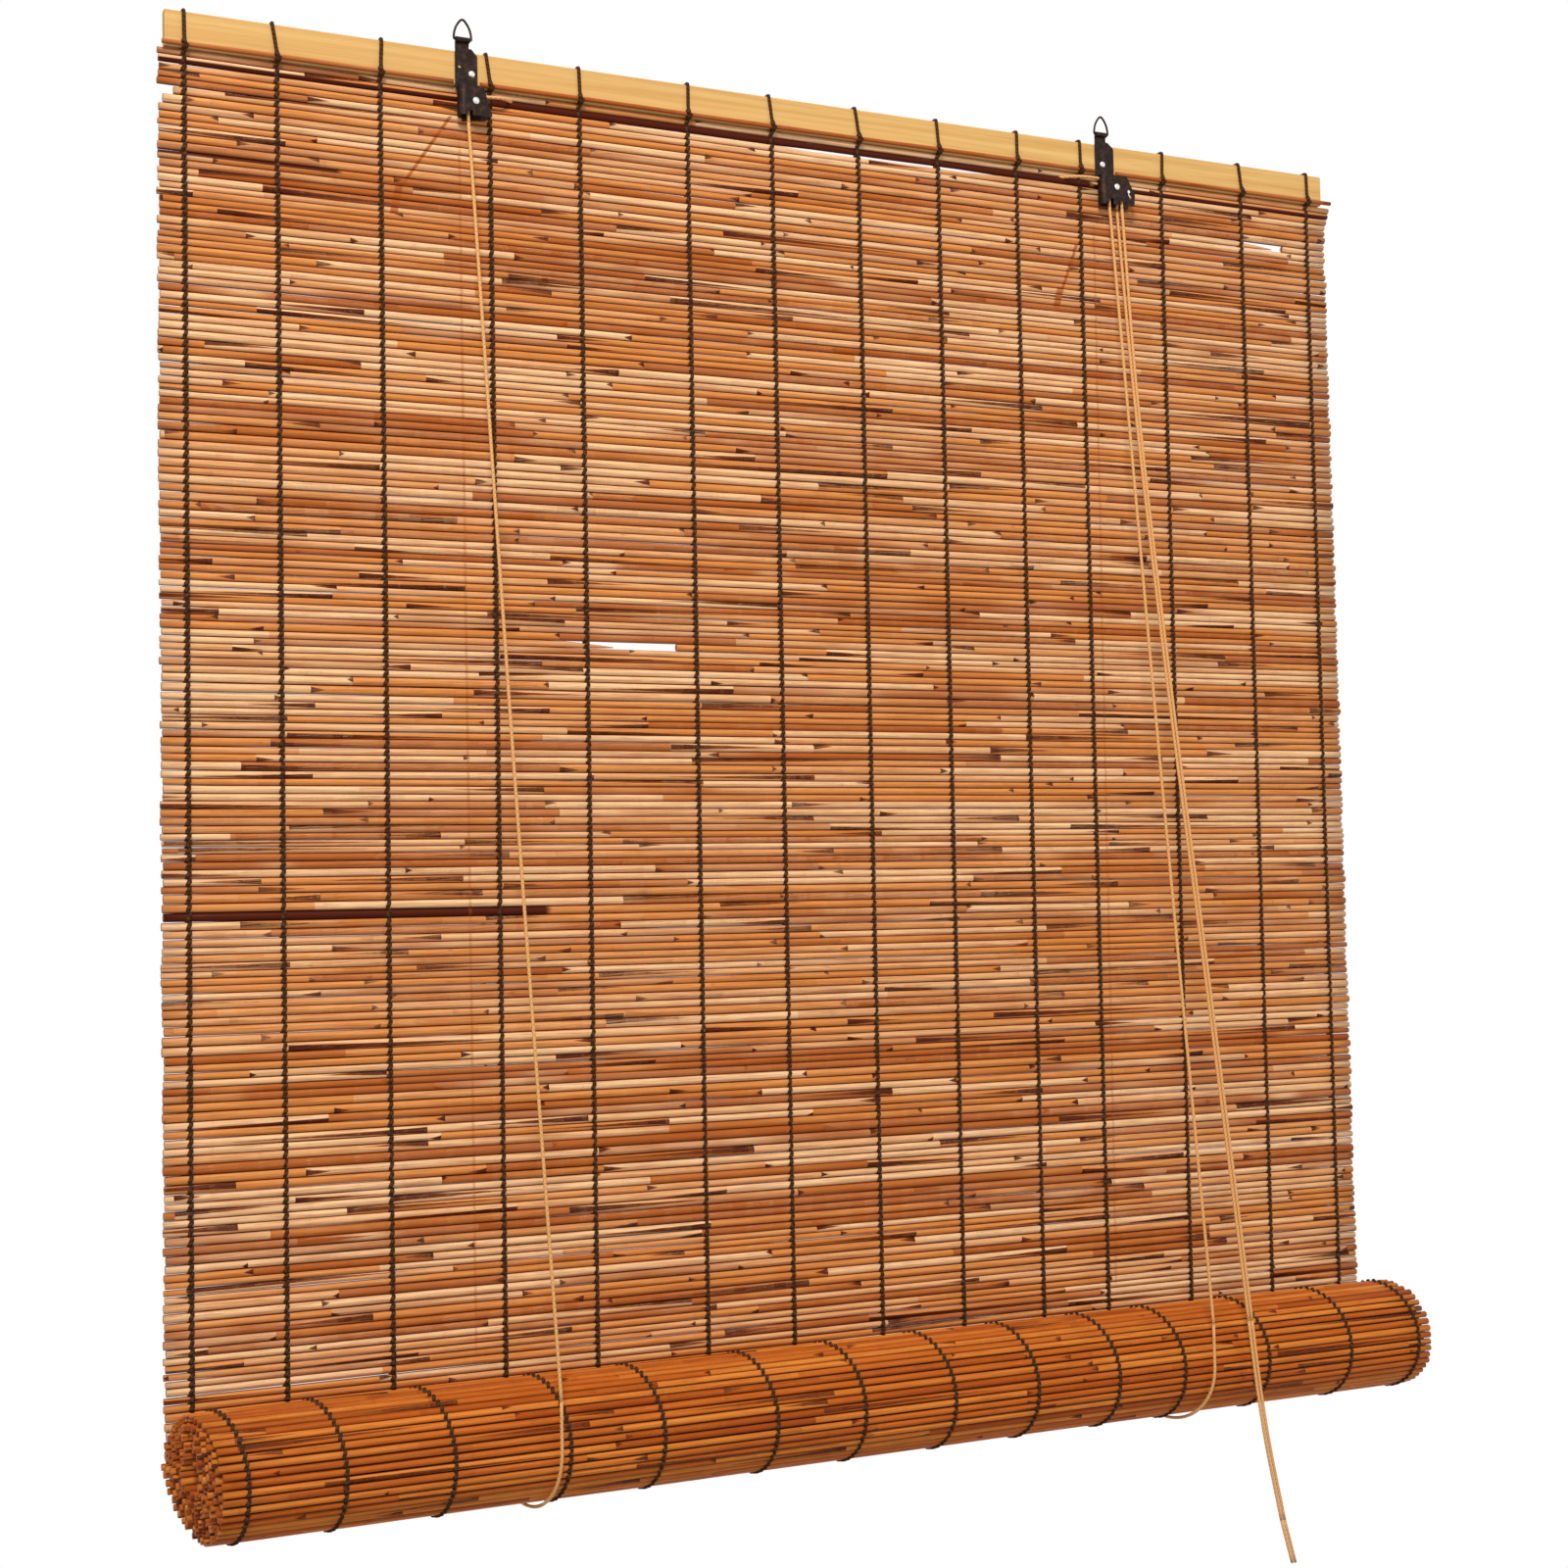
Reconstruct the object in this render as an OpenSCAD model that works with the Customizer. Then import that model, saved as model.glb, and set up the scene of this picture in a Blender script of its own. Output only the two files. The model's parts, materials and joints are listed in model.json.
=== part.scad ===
// Roll-up reed blind: a head batten, a mat of thin reeds woven with twine, the rolled-up lower
// end of that mat, two pulley brackets with hanging rings, and the cords that lift the roll.
// Millimetres, +X to the right seen from the room, +Y towards the window, +Z up.
// The origin is midway between the two hooks, where they carry the hanging rings.

/* [Head batten] */
// Width of the batten
batten_w = 900; // [700:10:1400]
// Height of the batten
batten_h = 23; // [20:1:32]
// Thickness of the batten
batten_t = 8; // [6:0.5:12]
// Chamfer along the batten's long edges
batten_chamfer = 0.8; // [0.3:0.1:1.5]
// Height of the hooks above the batten
hang_height = 20; // [18:1:26]

/* [Reed mat] */
// How far the reeds reach past each end of the batten
reed_overhang = 4; // [0:0.5:12]
// Distance from one reed to the next
reed_pitch = 5; // [4.9:0.1:7]
// Thickness of a reed
reed_d = 4.6; // [3.6:0.1:4.7]
// Thickness of the mat between two reeds
web_t = 1.4; // [1:0.1:2]
// Number of reeds between the batten and the roll
flat_reeds = 176; // [80:1:220]
// Number of gaps that let light through
gap_count = 104; // [20:1:118]
// Height of a light gap
gap_h = 1.2; // [0.8:0.1:1.6]

/* [Twine] */
// Number of woven columns
twine_count = 14; // [10:1:20]
// Distance from the batten's end to the outer column
twine_edge = 12; // [8:1:30]
// Width of a twine
twine_w = 2.4; // [1.6:0.1:3]
// Thickness of a twine
twine_t = 1.1; // [0.8:0.1:1.4]

/* [Roll] */
// Diameter of the roll over its reeds
roll_d = 78; // [60:1:110]
// Distance from one turn of the roll to the next
turn_pitch = 5.4; // [5.2:0.1:6.5]
// Number of turns in the roll
turn_count = 6; // [3:1:6]

/* [Brackets] */
// Distance between the two hanging rings
ring_span = 500; // [400:10:700]
// Distance from the rings' midpoint to the batten's centre
batten_shift = 7; // [0:1:12]
// Thickness of the bracket's sheet
sheet_t = 0.9; // [0.7:0.1:1.1]
// Depth of a bracket's folded lower part
bracket_depth = 9.4; // [9.3:0.1:11]
// Width of the left bracket on the batten
left_plate_w = 15.3; // [13:0.1:17]
// Width of the right bracket on the batten
right_plate_w = 16.3; // [13:0.1:18]
// Width of the left bracket at its bottom
left_foot_w = 21.4; // [20:0.1:24]
// Width of the right bracket at its bottom
right_foot_w = 28.6; // [28:0.1:32]
// Height of the left bracket below the batten's top
left_h = 45; // [44:0.5:50]
// Height of the right bracket below the batten's top
right_h = 47.3; // [46:0.1:52]
// Depth of the fold's upper edge below the batten's top
fold_drop = 25; // [24:0.1:26]
// Diameter of the ring's wire
wire_d = 1.6; // [1.4:0.1:1.8]
// Width of a ring over its wire
ring_w = 13.5; // [12:0.1:15]
// Height of the ring's hinge above the batten
hinge_rise = 7.4; // [6:0.1:8]

/* [Pulleys] */
// Radius of the left cord line round its pulley
left_line_r = 4.2; // [3.8:0.1:4.4]
// Radius of the right cord lines round their pulley
right_line_r = 5.5; // [5:0.1:5.6]
// Distance between the right pulley's two grooves
groove_pitch = 3; // [2.9:0.1:3.2]
// Diameter of a pulley's axle
axle_d = 2.4; // [2:0.1:2.6]
// Radius of the cord lock's roller
lock_r = 3.3; // [2.8:0.1:3.6]

/* [Cords] */
// Diameter of the cords
cord_d = 2.2; // [1.8:0.1:2.4]

/* [Hidden] */
// Running clearance of a pin in its hole, on the radius
pin_clear = 0.06;
// Gap between a cord and what it passes
cord_clear = 0.3;
// Gap between the roll and the cords round it
roll_clear = 0.7;
// Gap between faces that only meet
seat_gap = 0.2;
// Gap between two lengths of a cord that move apart
meet_gap = 0.15;
// Smallest cut past a face
cut = 1;

wire_r = wire_d / 2;
eye_in = wire_r + pin_clear;
eye_out = eye_in + sheet_t;
// Planes from front to back
face_y = eye_out;
mid_y = face_y + batten_t / 2;
front_y = face_y - bracket_depth;
bay_w = bracket_depth - 2 * sheet_t;
bay_y = face_y - bracket_depth / 2;
// Levels from top to bottom
top_z = -hang_height;
batten_z = top_z - batten_h;
mat_z = batten_z - seat_gap;
reed_r = reed_d / 2;
roll_line_r = roll_d / 2 - reed_r;
roll_y = mid_y - roll_line_r;
roll_z = mat_z - flat_reeds * reed_pitch;
mat_w = batten_w + 2 * reed_overhang;
// Bracket places, each from its own left edge
ring_inset = 5;
left_x = -ring_span / 2 - ring_inset;
right_x = ring_span / 2 - ring_inset;
left_axle = [11.6, top_z - 35];
right_axle = [13.5, top_z - 33.7];
left_fixing = [11.5, top_z - 14.5];
right_fixing = [6.6, top_z - 15];
fixing_r = 1.2;
// Cord lock: the roller's place when it grips, and the slot it slides in
lock_travel = 4.2;
lock_lean = 19;
lock_pin_r = 1.1;
lock_at = [right_axle[0] + right_line_r + cord_d / 2 + cord_clear + lock_r, top_z - 36.5];
rim_reach = 0.5;
groove_r = cord_d / 2 + 0.25;
// Cord lines
cord_r = cord_d / 2;
rear_cord_y = mid_y + reed_r + twine_t + roll_clear + cord_r;
loop_r = rear_cord_y - roll_y;
// Length of cord that stays upright in front of the roll, so that it clears the roll at every height
front_rise = 30;
exit_z = top_z - right_h - 2;
lift_y = bay_y - groove_pitch / 2;
cross_y = bay_y + groove_pitch / 2;

// Twine columns stand nearly evenly, each a little way off as woven by hand, and one that would
// run under a bracket is woven beside it
twine_wander = [0, -9, -9, -2, -6, 6, 3, 4, 2, 1, -11, -5, 2, -2];
plate_clear = 0.8;
twine_side = twine_w / 2 + plate_clear;
function even_x(i) =
    batten_shift - batten_w / 2 + twine_edge + i * (batten_w - 2 * twine_edge) / (twine_count - 1);
function woven_x(i) = even_x(i) + twine_wander[i % len(twine_wander)];
function beside_plate(x, a, b) = x < a - twine_side || x > b + twine_side ? x
    : x < (a + b) / 2 ? a - twine_side : b + twine_side;
function twine_x(i) =
    beside_plate(beside_plate(woven_x(i), left_x, left_x + left_foot_w), right_x, right_x + right_foot_w);
function two_digits(i) = str(floor(i / 10), i % 10);

// Routes, as points chosen by hand, each from a place on the bracket that it belongs to
function from_place(at, route) = [for (p = route) at + p];
// Pull cord in front of the mat, from the right bracket to just above the front of the roll
pull_place = [right_x, 0, 0];
pull_route = from_place(pull_place,
    [[21, -14, -204], [30, -33, -420], [44, -56, -670], [56, -74, -880], [56.8, -75, -893.2]]);
// The same cord from there to near its end, and the end itself
lower_route = from_place(pull_place,
    [[56.8, -75, -893.3], [59, -77, -925], [64, -79, -970], [76, -80.5, -1035]]);
end_route = from_place(pull_place, [[76, -80.5, -1035.2], [84, -81, -1066]]);
// Step sideways to the strand beside it
strand_step = [-2.7, 0.2, 0];
function beside(route) = [for (p = route) p + strand_step];

// Points along an arc about c, from angle a to angle b
function arc(c, r, a, b, n) = [for (i = [0:n]) c + r * [cos(a + (b - a) * i / n), sin(a + (b - a) * i / n)]];

function unit(v) = v / norm(v);

// Direction of a route at its point i
function heading(p, i) = unit(p[min(i + 1, len(p) - 1)] - p[max(i - 1, 0)]);

// A cord of round section along a route, with side a direction that the route never takes
module cord(route, side) {
    sides = 8;
    last = len(route) - 1;
    points = [for (i = [0:last])
        let (h = heading(route, i), a = unit(cross(h, side)), b = cross(h, a))
            for (k = [0:sides - 1]) route[i] + cord_r * (cos(360 * k / sides) * a + sin(360 * k / sides) * b)];
    walls = [for (i = [0:last - 1], k = [0:sides - 1])
        let (n = (k + 1) % sides)
            [i * sides + k, (i + 1) * sides + k, (i + 1) * sides + n, i * sides + n]];
    start = [for (k = [0:sides - 1]) k];
    end = [for (k = [sides - 1:-1:0]) last * sides + k];
    polyhedron(points, concat(walls, [start, end]));
}

// Puts a flat outline, drawn as depth and height, across the blind from x0 with width w
module across(x0, w) {
    translate([x0, 0, 0]) rotate([90, 0, 90]) linear_extrude(w) children();
}

// Puts a flat outline, drawn as width and height, through the blind from depth y0 to y1
module through(y0, y1) {
    translate([0, y1, 0]) rotate([90, 0, 0]) linear_extrude(y1 - y0) children();
}

// A round bar through the blind from depth y0 to y1, about a point given as width and height
module cross_bar(at, r, y0, y1) {
    translate([at[0], y1, at[1]]) rotate([90, 0, 0]) cylinder(r = r, h = y1 - y0, $fn = 32);
}

// Head batten, planed from one strip of pine, with the holes for the fixing rivets
module head_batten() {
    c = batten_chamfer;
    a = face_y;
    b = face_y + batten_t;
    outline = [
        [a + c, batten_z], [b - c, batten_z], [b, batten_z + c], [b, top_z - c],
        [b - c, top_z], [a + c, top_z], [a, top_z - c], [a, batten_z + c]
    ];
    color("burlywood")
        difference() {
            across(batten_shift - batten_w / 2, batten_w) polygon(outline);
            cross_bar([left_x + left_fixing[0], left_fixing[1]], fixing_r + pin_clear, a - cut, b + cut);
            cross_bar([right_x + right_fixing[0], right_fixing[1]], fixing_r + pin_clear, a - cut, b + cut);
        }
}

// Outline of the flat mat: reeds as ridges on both faces of one wall, from the batten to the roll
function mat_side(s) = [for (i = [0:flat_reeds - 1])
    let (z = mat_z - i * reed_pitch)
        for (p = [[web_t / 2, 0], [reed_r, 0.3], [reed_r, 0.7]]) [mid_y + s * p[0], z - p[1] * reed_pitch]];
function reversed(p) = [for (i = [len(p) - 1:-1:0]) p[i]];

// Light gaps: short slots between two reeds, spread over the mat and kept clear of the twines
gap_seed = 27;
gap_lengths = rands(18, 52, gap_count, gap_seed);
gap_shares = rands(0.05, 0.95, gap_count, gap_seed + 1);
function gap_bay(i) = (i * 5) % (twine_count - 1);
function gap_row(i) = 3 + floor((flat_reeds - 8) * i / gap_count);
module light_gaps() {
    for (i = [0:gap_count - 1]) {
        left = twine_x(gap_bay(i)) + twine_w / 2 + 1;
        bay = twine_x(gap_bay(i) + 1) - twine_w / 2 - 1 - left;
        length = min(gap_lengths[i], bay - 2);
        x = left + (bay - length) * gap_shares[i];
        z = mat_z - gap_row(i) * reed_pitch;
        translate([x, mid_y - reed_d, z - gap_h / 2]) cube([length, 2 * reed_d, gap_h]);
    }
}

// Eyes that the crossing cord passes through, between the first two reeds
eye_w = 15;
eye_h = cord_d + 4 * cord_clear;
left_eye_x = twine_x(3) + 8;
right_eye_x = twine_x(10) - 8 - eye_w;
module cord_eyes() {
    for (x = [left_eye_x, right_eye_x])
        translate([x, mid_y - reed_d, mat_z - reed_pitch - eye_h / 2]) cube([eye_w, 2 * reed_d, eye_h]);
}

// The flat part of the woven mat, as one ridged wall
module reed_mat() {
    bottom = roll_z + seat_gap;
    front = concat(mat_side(-1), [[mid_y - web_t / 2, bottom]]);
    back = concat(mat_side(1), [[mid_y + web_t / 2, bottom]]);
    color("peru")
        difference() {
            across(batten_shift - mat_w / 2, mat_w) polygon(concat(front, reversed(back)));
            light_gaps();
            cord_eyes();
        }
}

// The roll: each turn is round for three quarters, then steps in to let the next one pass over it
function step_in(a) = max(0, min(1, ((a % 360) - 270) / 90));
function turn_r(a) = roll_line_r - turn_pitch * (floor(a / 360) + step_in(a));
function roll_point(a, r) = [roll_y + r * cos(a), roll_z - r * sin(a)];
function reeds_in_turn(k) = floor(2 * PI * (roll_line_r - k * turn_pitch) / reed_pitch);
function roll_side(s) = [for (k = [0:turn_count - 1])
    let (n = reeds_in_turn(k))
        for (i = [0:n - 1], p = [[web_t / 2, 0], [reed_r, 0.3], [reed_r, 0.7]])
            let (a = 360 * (k + (i + p[1]) / n)) roll_point(a, turn_r(a) + s * p[0])];

// The rolled-up end of the mat, as one spiral of ridged wall
module mat_roll() {
    color("chocolate")
        across(batten_shift - mat_w / 2, mat_w) polygon(concat(roll_side(1), reversed(roll_side(-1))));
}

// Flat part of a twine column: over the batten, and down both faces of the mat
module warp_twine(i) {
    a = batten_t / 2;
    b = reed_r;
    t = twine_t;
    bend_z = batten_z - 3;
    front_end = roll_z + 14;
    outline = [
        [-b - t, front_end], [-b, front_end], [-b, bend_z], [-a, batten_z + batten_chamfer], [-a, top_z],
        [a, top_z], [a, batten_z + batten_chamfer], [b, bend_z], [b, roll_z + seat_gap],
        [b + t, roll_z + seat_gap], [b + t, bend_z], [a + t, batten_z], [a + t, top_z + t],
        [-a - t, top_z + t], [-a - t, batten_z], [-b - t, bend_z]
    ];
    color("saddlebrown")
        translate([0, mid_y, 0]) across(twine_x(i) - twine_w / 2, twine_w) polygon(outline);
}

// Rolled part of a twine column: one turn round the outside of the roll, just clear of the reeds
twine_turn_end = 318;
twine_lift = 0.3;
module roll_twine(i) {
    n = 30;
    inner = [for (k = [0:n]) let (a = twine_turn_end * k / n) roll_point(a, turn_r(a) + reed_r + twine_lift)];
    outer = [for (k = [0:n]) let (a = twine_turn_end * k / n) roll_point(a, turn_r(a) + reed_r + twine_t)];
    color("saddlebrown") across(twine_x(i) - twine_w / 2, twine_w) polygon(concat(inner, reversed(outer)));
}

// Section of the folded sheet, seen from above: back plate, half-round fold on the left, front plate
module folded(w, r) {
    translate([bracket_depth / 2, bracket_depth / 2]) circle(r = r, $fn = 60);
    translate([bracket_depth / 2, bracket_depth / 2 - r]) square([w, 2 * r]);
}
module channel(w) {
    difference() {
        folded(w, bracket_depth / 2);
        folded(w + cut, bracket_depth / 2 - sheet_t);
    }
}

// Outlines of the two brackets, as width from the left edge and height
corner_r = 1.6;
fold_z = top_z - fold_drop;
shoulder_r = 2;
low_bend = 1;
neck_w = ring_w - 2 * (wire_r + low_bend) - 0.2;
neck_x = ring_inset + neck_w / 2;
neck_from = 312;
neck_to = 165;
// From the right end of the plate on the batten, round its shoulder and up to the neck
function plate_top(w) = concat(
    [[w, fold_z + 1]],
    arc([w - shoulder_r, top_z - 1 - shoulder_r], shoulder_r, 0, 48, 4),
    arc([neck_x + 0.6, top_z + 3], 1, neck_from, neck_to, 6),
    [[neck_x, top_z + hinge_rise], [ring_inset - neck_w / 2, top_z + hinge_rise],
     [ring_inset - neck_w / 2, top_z + 1], [0, top_z - 1]]
);
left_foot_z = top_z - left_h;
right_foot_z = top_z - right_h;
function left_foot() = concat(
    [[0, left_foot_z]],
    arc([left_foot_w - corner_r, left_foot_z + corner_r], corner_r, -90, 10, 4),
    arc([left_foot_w - 4 - corner_r, fold_z - corner_r], corner_r, 10, 90, 4)
);
function right_foot() = concat(
    [[0, right_foot_z]],
    arc([right_foot_w - corner_r, right_foot_z + corner_r], corner_r, -90, -5, 4),
    arc([right_foot_w + 0.5 - corner_r, top_z - 38.5], corner_r, -5, 29, 3),
    arc([right_foot_w - 8, fold_z - 2.2], 2.2, 29, 90, 5)
);

// One bracket in its place: back plate, folded lower part, and the eye rolled round the ring's bar
module bracket_sheet(x, foot, plate_w, foot_z, fixing, axle, notches) {
    ring_x = x + ring_inset;
    eye_z = top_z + hinge_rise;
    difference() {
        union() {
            translate([x, 0, 0]) through(face_y - sheet_t, face_y)
                difference() {
                    polygon(concat(foot, plate_top(plate_w)));
                    translate([-cut, foot_z - cut]) square([bracket_depth / 2 + cut, fold_z - foot_z + cut]);
                }
            intersection() {
                translate([x, front_y, foot_z]) linear_extrude(fold_z - foot_z) channel(right_foot_w + 6);
                translate([x, 0, 0]) through(front_y - cut, face_y + cut) polygon(concat(foot, [[0, fold_z]]));
            }
            translate([ring_x - neck_w / 2, 0, eye_z]) rotate([0, 90, 0]) cylinder(r = eye_out, h = neck_w, $fn = 40);
        }
        translate([ring_x - neck_w / 2 - cut, 0, eye_z])
            rotate([0, 90, 0]) cylinder(r = eye_in, h = neck_w + 2 * cut, $fn = 40);
        cross_bar([x + fixing[0], fixing[1]], fixing_r + pin_clear, front_y - cut, face_y + cut);
        cross_bar([x + axle[0], axle[1]], axle_d / 2 + pin_clear, front_y - cut, face_y + cut);
        for (n = notches)
            translate([x + n[0] - n[1] / 2, front_y - cut, foot_z - cut]) cube([n[1], sheet_t + 2 * cut, n[2] + cut]);
    }
}

// Left bracket: one pulley, a spare nail hole, and a notch where the cord leaves
nail_hole = [3, top_z - 10.3];
module left_bracket() {
    strand = left_axle[0] - left_line_r;
    color("#2b211b")
        difference() {
            bracket_sheet(left_x, left_foot(), left_plate_w, left_foot_z, left_fixing, left_axle,
                [[strand, cord_d + 1.4, 3]]);
            cross_bar([left_x + nail_hole[0], nail_hole[1]], 1.25, front_y - cut, face_y + cut);
        }
}

// Right bracket: the double pulley, a window in the fold for the crossing cord, and the lock's slots
module right_bracket() {
    a = right_axle;
    window_h = cord_d + 4 * cord_clear;
    color("#2b211b")
        difference() {
            bracket_sheet(right_x, right_foot(), right_plate_w, right_foot_z, right_fixing, right_axle,
                [[a[0] - right_line_r, cord_d + 1.6, 4], [a[0] + right_line_r - 1, cord_d + 4, 3]]);
            translate([right_x - cut, cross_y - window_h / 2, a[1] + right_line_r - window_h / 2])
                cube([bracket_depth / 2 + cut, window_h, window_h]);
            lock_slot();
        }
}

// The slanted slot in both plates that guides the lock's roller
module lock_slot() {
    r = lock_pin_r + 0.15;
    translate([right_x + lock_at[0], 0, lock_at[1]])
        rotate([0, -lock_lean, 0])
            through(front_y - cut, face_y + cut)
                union() {
                    circle(r = r, $fn = 24);
                    translate([0, -lock_travel]) circle(r = r, $fn = 24);
                    translate([-r, -lock_travel]) square([2 * r, lock_travel]);
                }
}

// Serrated roller of the cord lock, with its two pins, where it grips the cord
lock_teeth = 12;
module lock_roller() {
    width = bay_w - 2 * cord_clear;
    color("dimgray")
        translate([right_x + lock_at[0], 0, lock_at[1]]) {
            difference() {
                cross_bar([0, 0], lock_r, bay_y - width / 2, bay_y + width / 2);
                for (i = [0:lock_teeth - 1])
                    rotate([0, i * 360 / lock_teeth, 0])
                        translate([-0.25, bay_y - width / 2 - cut, lock_r - 0.4]) cube([0.5, width + 2 * cut, 1]);
            }
            cross_bar([0, 0], lock_pin_r, front_y, face_y);
        }
}

// Triangular hanging ring of bent wire: a straight bar, two low bends, two long arcs and a top bend
high_bend = 1.9;
side_r = 17;
// The bar and the long arcs reach a little way into the bends, which are a hair thicker
bend_lap = 0.1;
bar_r = wire_r - 0.02;
module wire_arc(at, r, a, b, wire) {
    translate([at[0], at[1], 0])
        rotate([0, 0, a])
            rotate_extrude(angle = b - a, $fn = 96) translate([r, 0]) circle(r = wire, $fn = 20);
}
module hanging_ring() {
    low = [ring_w / 2 - wire_r - low_bend, top_z + hinge_rise + low_bend];
    high = [0, wire_r - high_bend];
    rise = high - low;
    up = unit(rise);
    // Centre of the right long arc, which touches both bends from outside
    reach = side_r - low_bend;
    along = (pow(reach, 2) - pow(side_r - high_bend, 2) + pow(norm(rise), 2)) / (2 * norm(rise));
    middle = low + along * up + sqrt(pow(reach, 2) - pow(along, 2)) * [-up[1], up[0]];
    from_low = atan2(low[1] - middle[1], low[0] - middle[0]);
    to_high = atan2(high[1] - middle[1], high[0] - middle[0]);
    lap = bend_lap / side_r * 180 / PI;
    bar = low[0] + bend_lap;
    color("#3a2c22")
        rotate([90, 0, 0]) {
            translate([-bar, low[1] - low_bend, 0]) rotate([0, 90, 0]) cylinder(r = bar_r, h = 2 * bar, $fn = 20);
            wire_arc(low, low_bend, -90, from_low, wire_r);
            wire_arc([-low[0], low[1]], low_bend, 180 - from_low, 270, wire_r);
            wire_arc(middle, side_r, from_low - lap, to_high + lap, bar_r);
            wire_arc([-middle[0], middle[1]], side_r, 180 - to_high - lap, 180 - from_low + lap, bar_r);
            wire_arc(high, high_bend, to_high, 180 - to_high, wire_r);
        }
}

// A pulley wheel about its axle, with a groove at each given depth
module pulley(axle, line_r, grooves) {
    width = bay_w - 2 * cord_clear;
    rim_r = line_r + rim_reach;
    bore_r = axle_d / 2 + pin_clear;
    color("gray")
        translate([axle[0], bay_y, axle[1]])
            rotate([90, 0, 0])
                rotate_extrude($fn = 48)
                    difference() {
                        translate([bore_r, -width / 2]) square([rim_r - bore_r, width]);
                        for (g = grooves) {
                            translate([line_r, g]) circle(r = groove_r, $fn = 24);
                            translate([line_r, g - groove_r]) square([cord_r + cut, 2 * groove_r]);
                        }
                    }
}

// A rivet through depths y0 to y1, with a domed head in front and a flat one behind
module rivet(at, r, y0, y1, tail_t) {
    head_r = 2.3;
    head_h = 1.1;
    dome_r = (head_r * head_r + head_h * head_h) / (2 * head_h);
    color("silver")
        translate([at[0], y0, at[1]])
            rotate([-90, 0, 0])
                rotate_extrude($fn = 40)
                    union() {
                        translate([0, -head_h / 2]) square([r, y1 - y0 + tail_t + head_h / 2]);
                        translate([0, y1 - y0]) square([2, tail_t]);
                        intersection() {
                            translate([0, dome_r - head_h]) circle(r = dome_r, $fn = 60);
                            translate([0, -head_h]) square([head_r, head_h]);
                        }
                    }
}

// Riveted axles of the two pulleys
axle_tail_t = 0.5;
module pulley_axles() {
    rivet([left_x + left_axle[0], left_axle[1]], axle_d / 2, front_y, face_y, axle_tail_t);
    rivet([right_x + right_axle[0], right_axle[1]], axle_d / 2, front_y, face_y, axle_tail_t);
}

// Rivets that fix the brackets, clenched behind the batten over the cords' tied ends
fixing_tail_t = 0.8;
fixing_back_y = face_y + batten_t + cord_d + 2 * cord_clear;
module fixing_rivets() {
    plate_y = face_y - sheet_t;
    rivet([left_x + left_fixing[0], left_fixing[1]], fixing_r, plate_y, fixing_back_y, fixing_tail_t);
    rivet([right_x + right_fixing[0], right_fixing[1]], fixing_r, plate_y, fixing_back_y, fixing_tail_t);
}

// Cord behind the mat, from its tied end down to the roll
knot_r = 2.6;
tie_y = face_y + batten_t + cord_clear + cord_r;
tie_r = fixing_r + cord_clear + cord_r;
function knot_z(fixing_z) = fixing_z - tie_r - knot_r + 0.6;
left_rear_x = left_x + left_fixing[0];
right_rear_x = right_x + right_fixing[0];
// Ways across from a bracket's left edge to the cord behind the roll, and to the cord in front of it
left_rear_in = 17;
right_rear_in = 1;
left_front_in = 35;
right_front_in = 25;
left_low_x = left_x + left_rear_in;
right_low_x = right_x + right_rear_in;
module rear_cord(top_x, low_x, fixing_z) {
    top = knot_z(fixing_z) - knot_r + 0.05;
    color("tan")
        cord([[top_x, tie_y, top], [top_x, rear_cord_y, top - 12],
              [(top_x + low_x) / 2, rear_cord_y, (top + roll_z) / 2], [low_x, rear_cord_y, roll_z]],
             [1, 0, 0]);
}

// Cord under the roll, a half circle in a plane turned to carry it sideways as it goes round
left_front_x = left_x + left_front_in;
right_front_x = right_x + right_front_in;
module under_cord(back_x, front_x) {
    drift = (front_x - back_x) / 2;
    r = norm([drift, loop_r]);
    color("tan")
        translate([(back_x + front_x) / 2, roll_y, roll_z])
            rotate([-90, 0, atan2(-loop_r, drift)])
                rotate_extrude(angle = 180, $fn = 120) translate([r, 0]) circle(r = cord_r, $fn = 24);
    color("tan")
        translate([front_x, roll_y - loop_r, roll_z - 0.05])
            cylinder(r = cord_r - 0.02, h = front_rise + 0.05, $fn = 24);
}

// Cord in front of the mat, from the roll up to a bracket's bottom
module front_cord(low_x, top_x, top_y) {
    low_y = roll_y - loop_r;
    color("tan")
        cord([[low_x, low_y, roll_z + front_rise + meet_gap],
              [(low_x + top_x) / 2, (low_y + top_y) / 2, (roll_z + exit_z) / 2], [top_x, top_y, exit_z]],
             [1, 0, 0]);
}
left_strand_x = left_x + left_axle[0] - left_line_r;
right_strand_x = right_x + right_axle[0] - right_line_r;

// Where the two pull strands leave the right bracket
own_exit = [right_x + right_axle[0] + right_line_r, lift_y - 0.2, exit_z];
crossed_exit = own_exit + [-2.6, groove_pitch, 0];

// Points over the top of a pulley, from its left side to its right side
function over(x, y, axle, r, a, b, n) =
    [for (k = [0:n]) let (t = a + (b - a) * k / n) [x + axle[0] + r * cos(t), y, axle[1] + r * sin(t)]];

// Cord that crosses behind the batten, from the left bracket's bottom to the right bracket's
cross_z = mat_z - reed_pitch;
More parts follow.
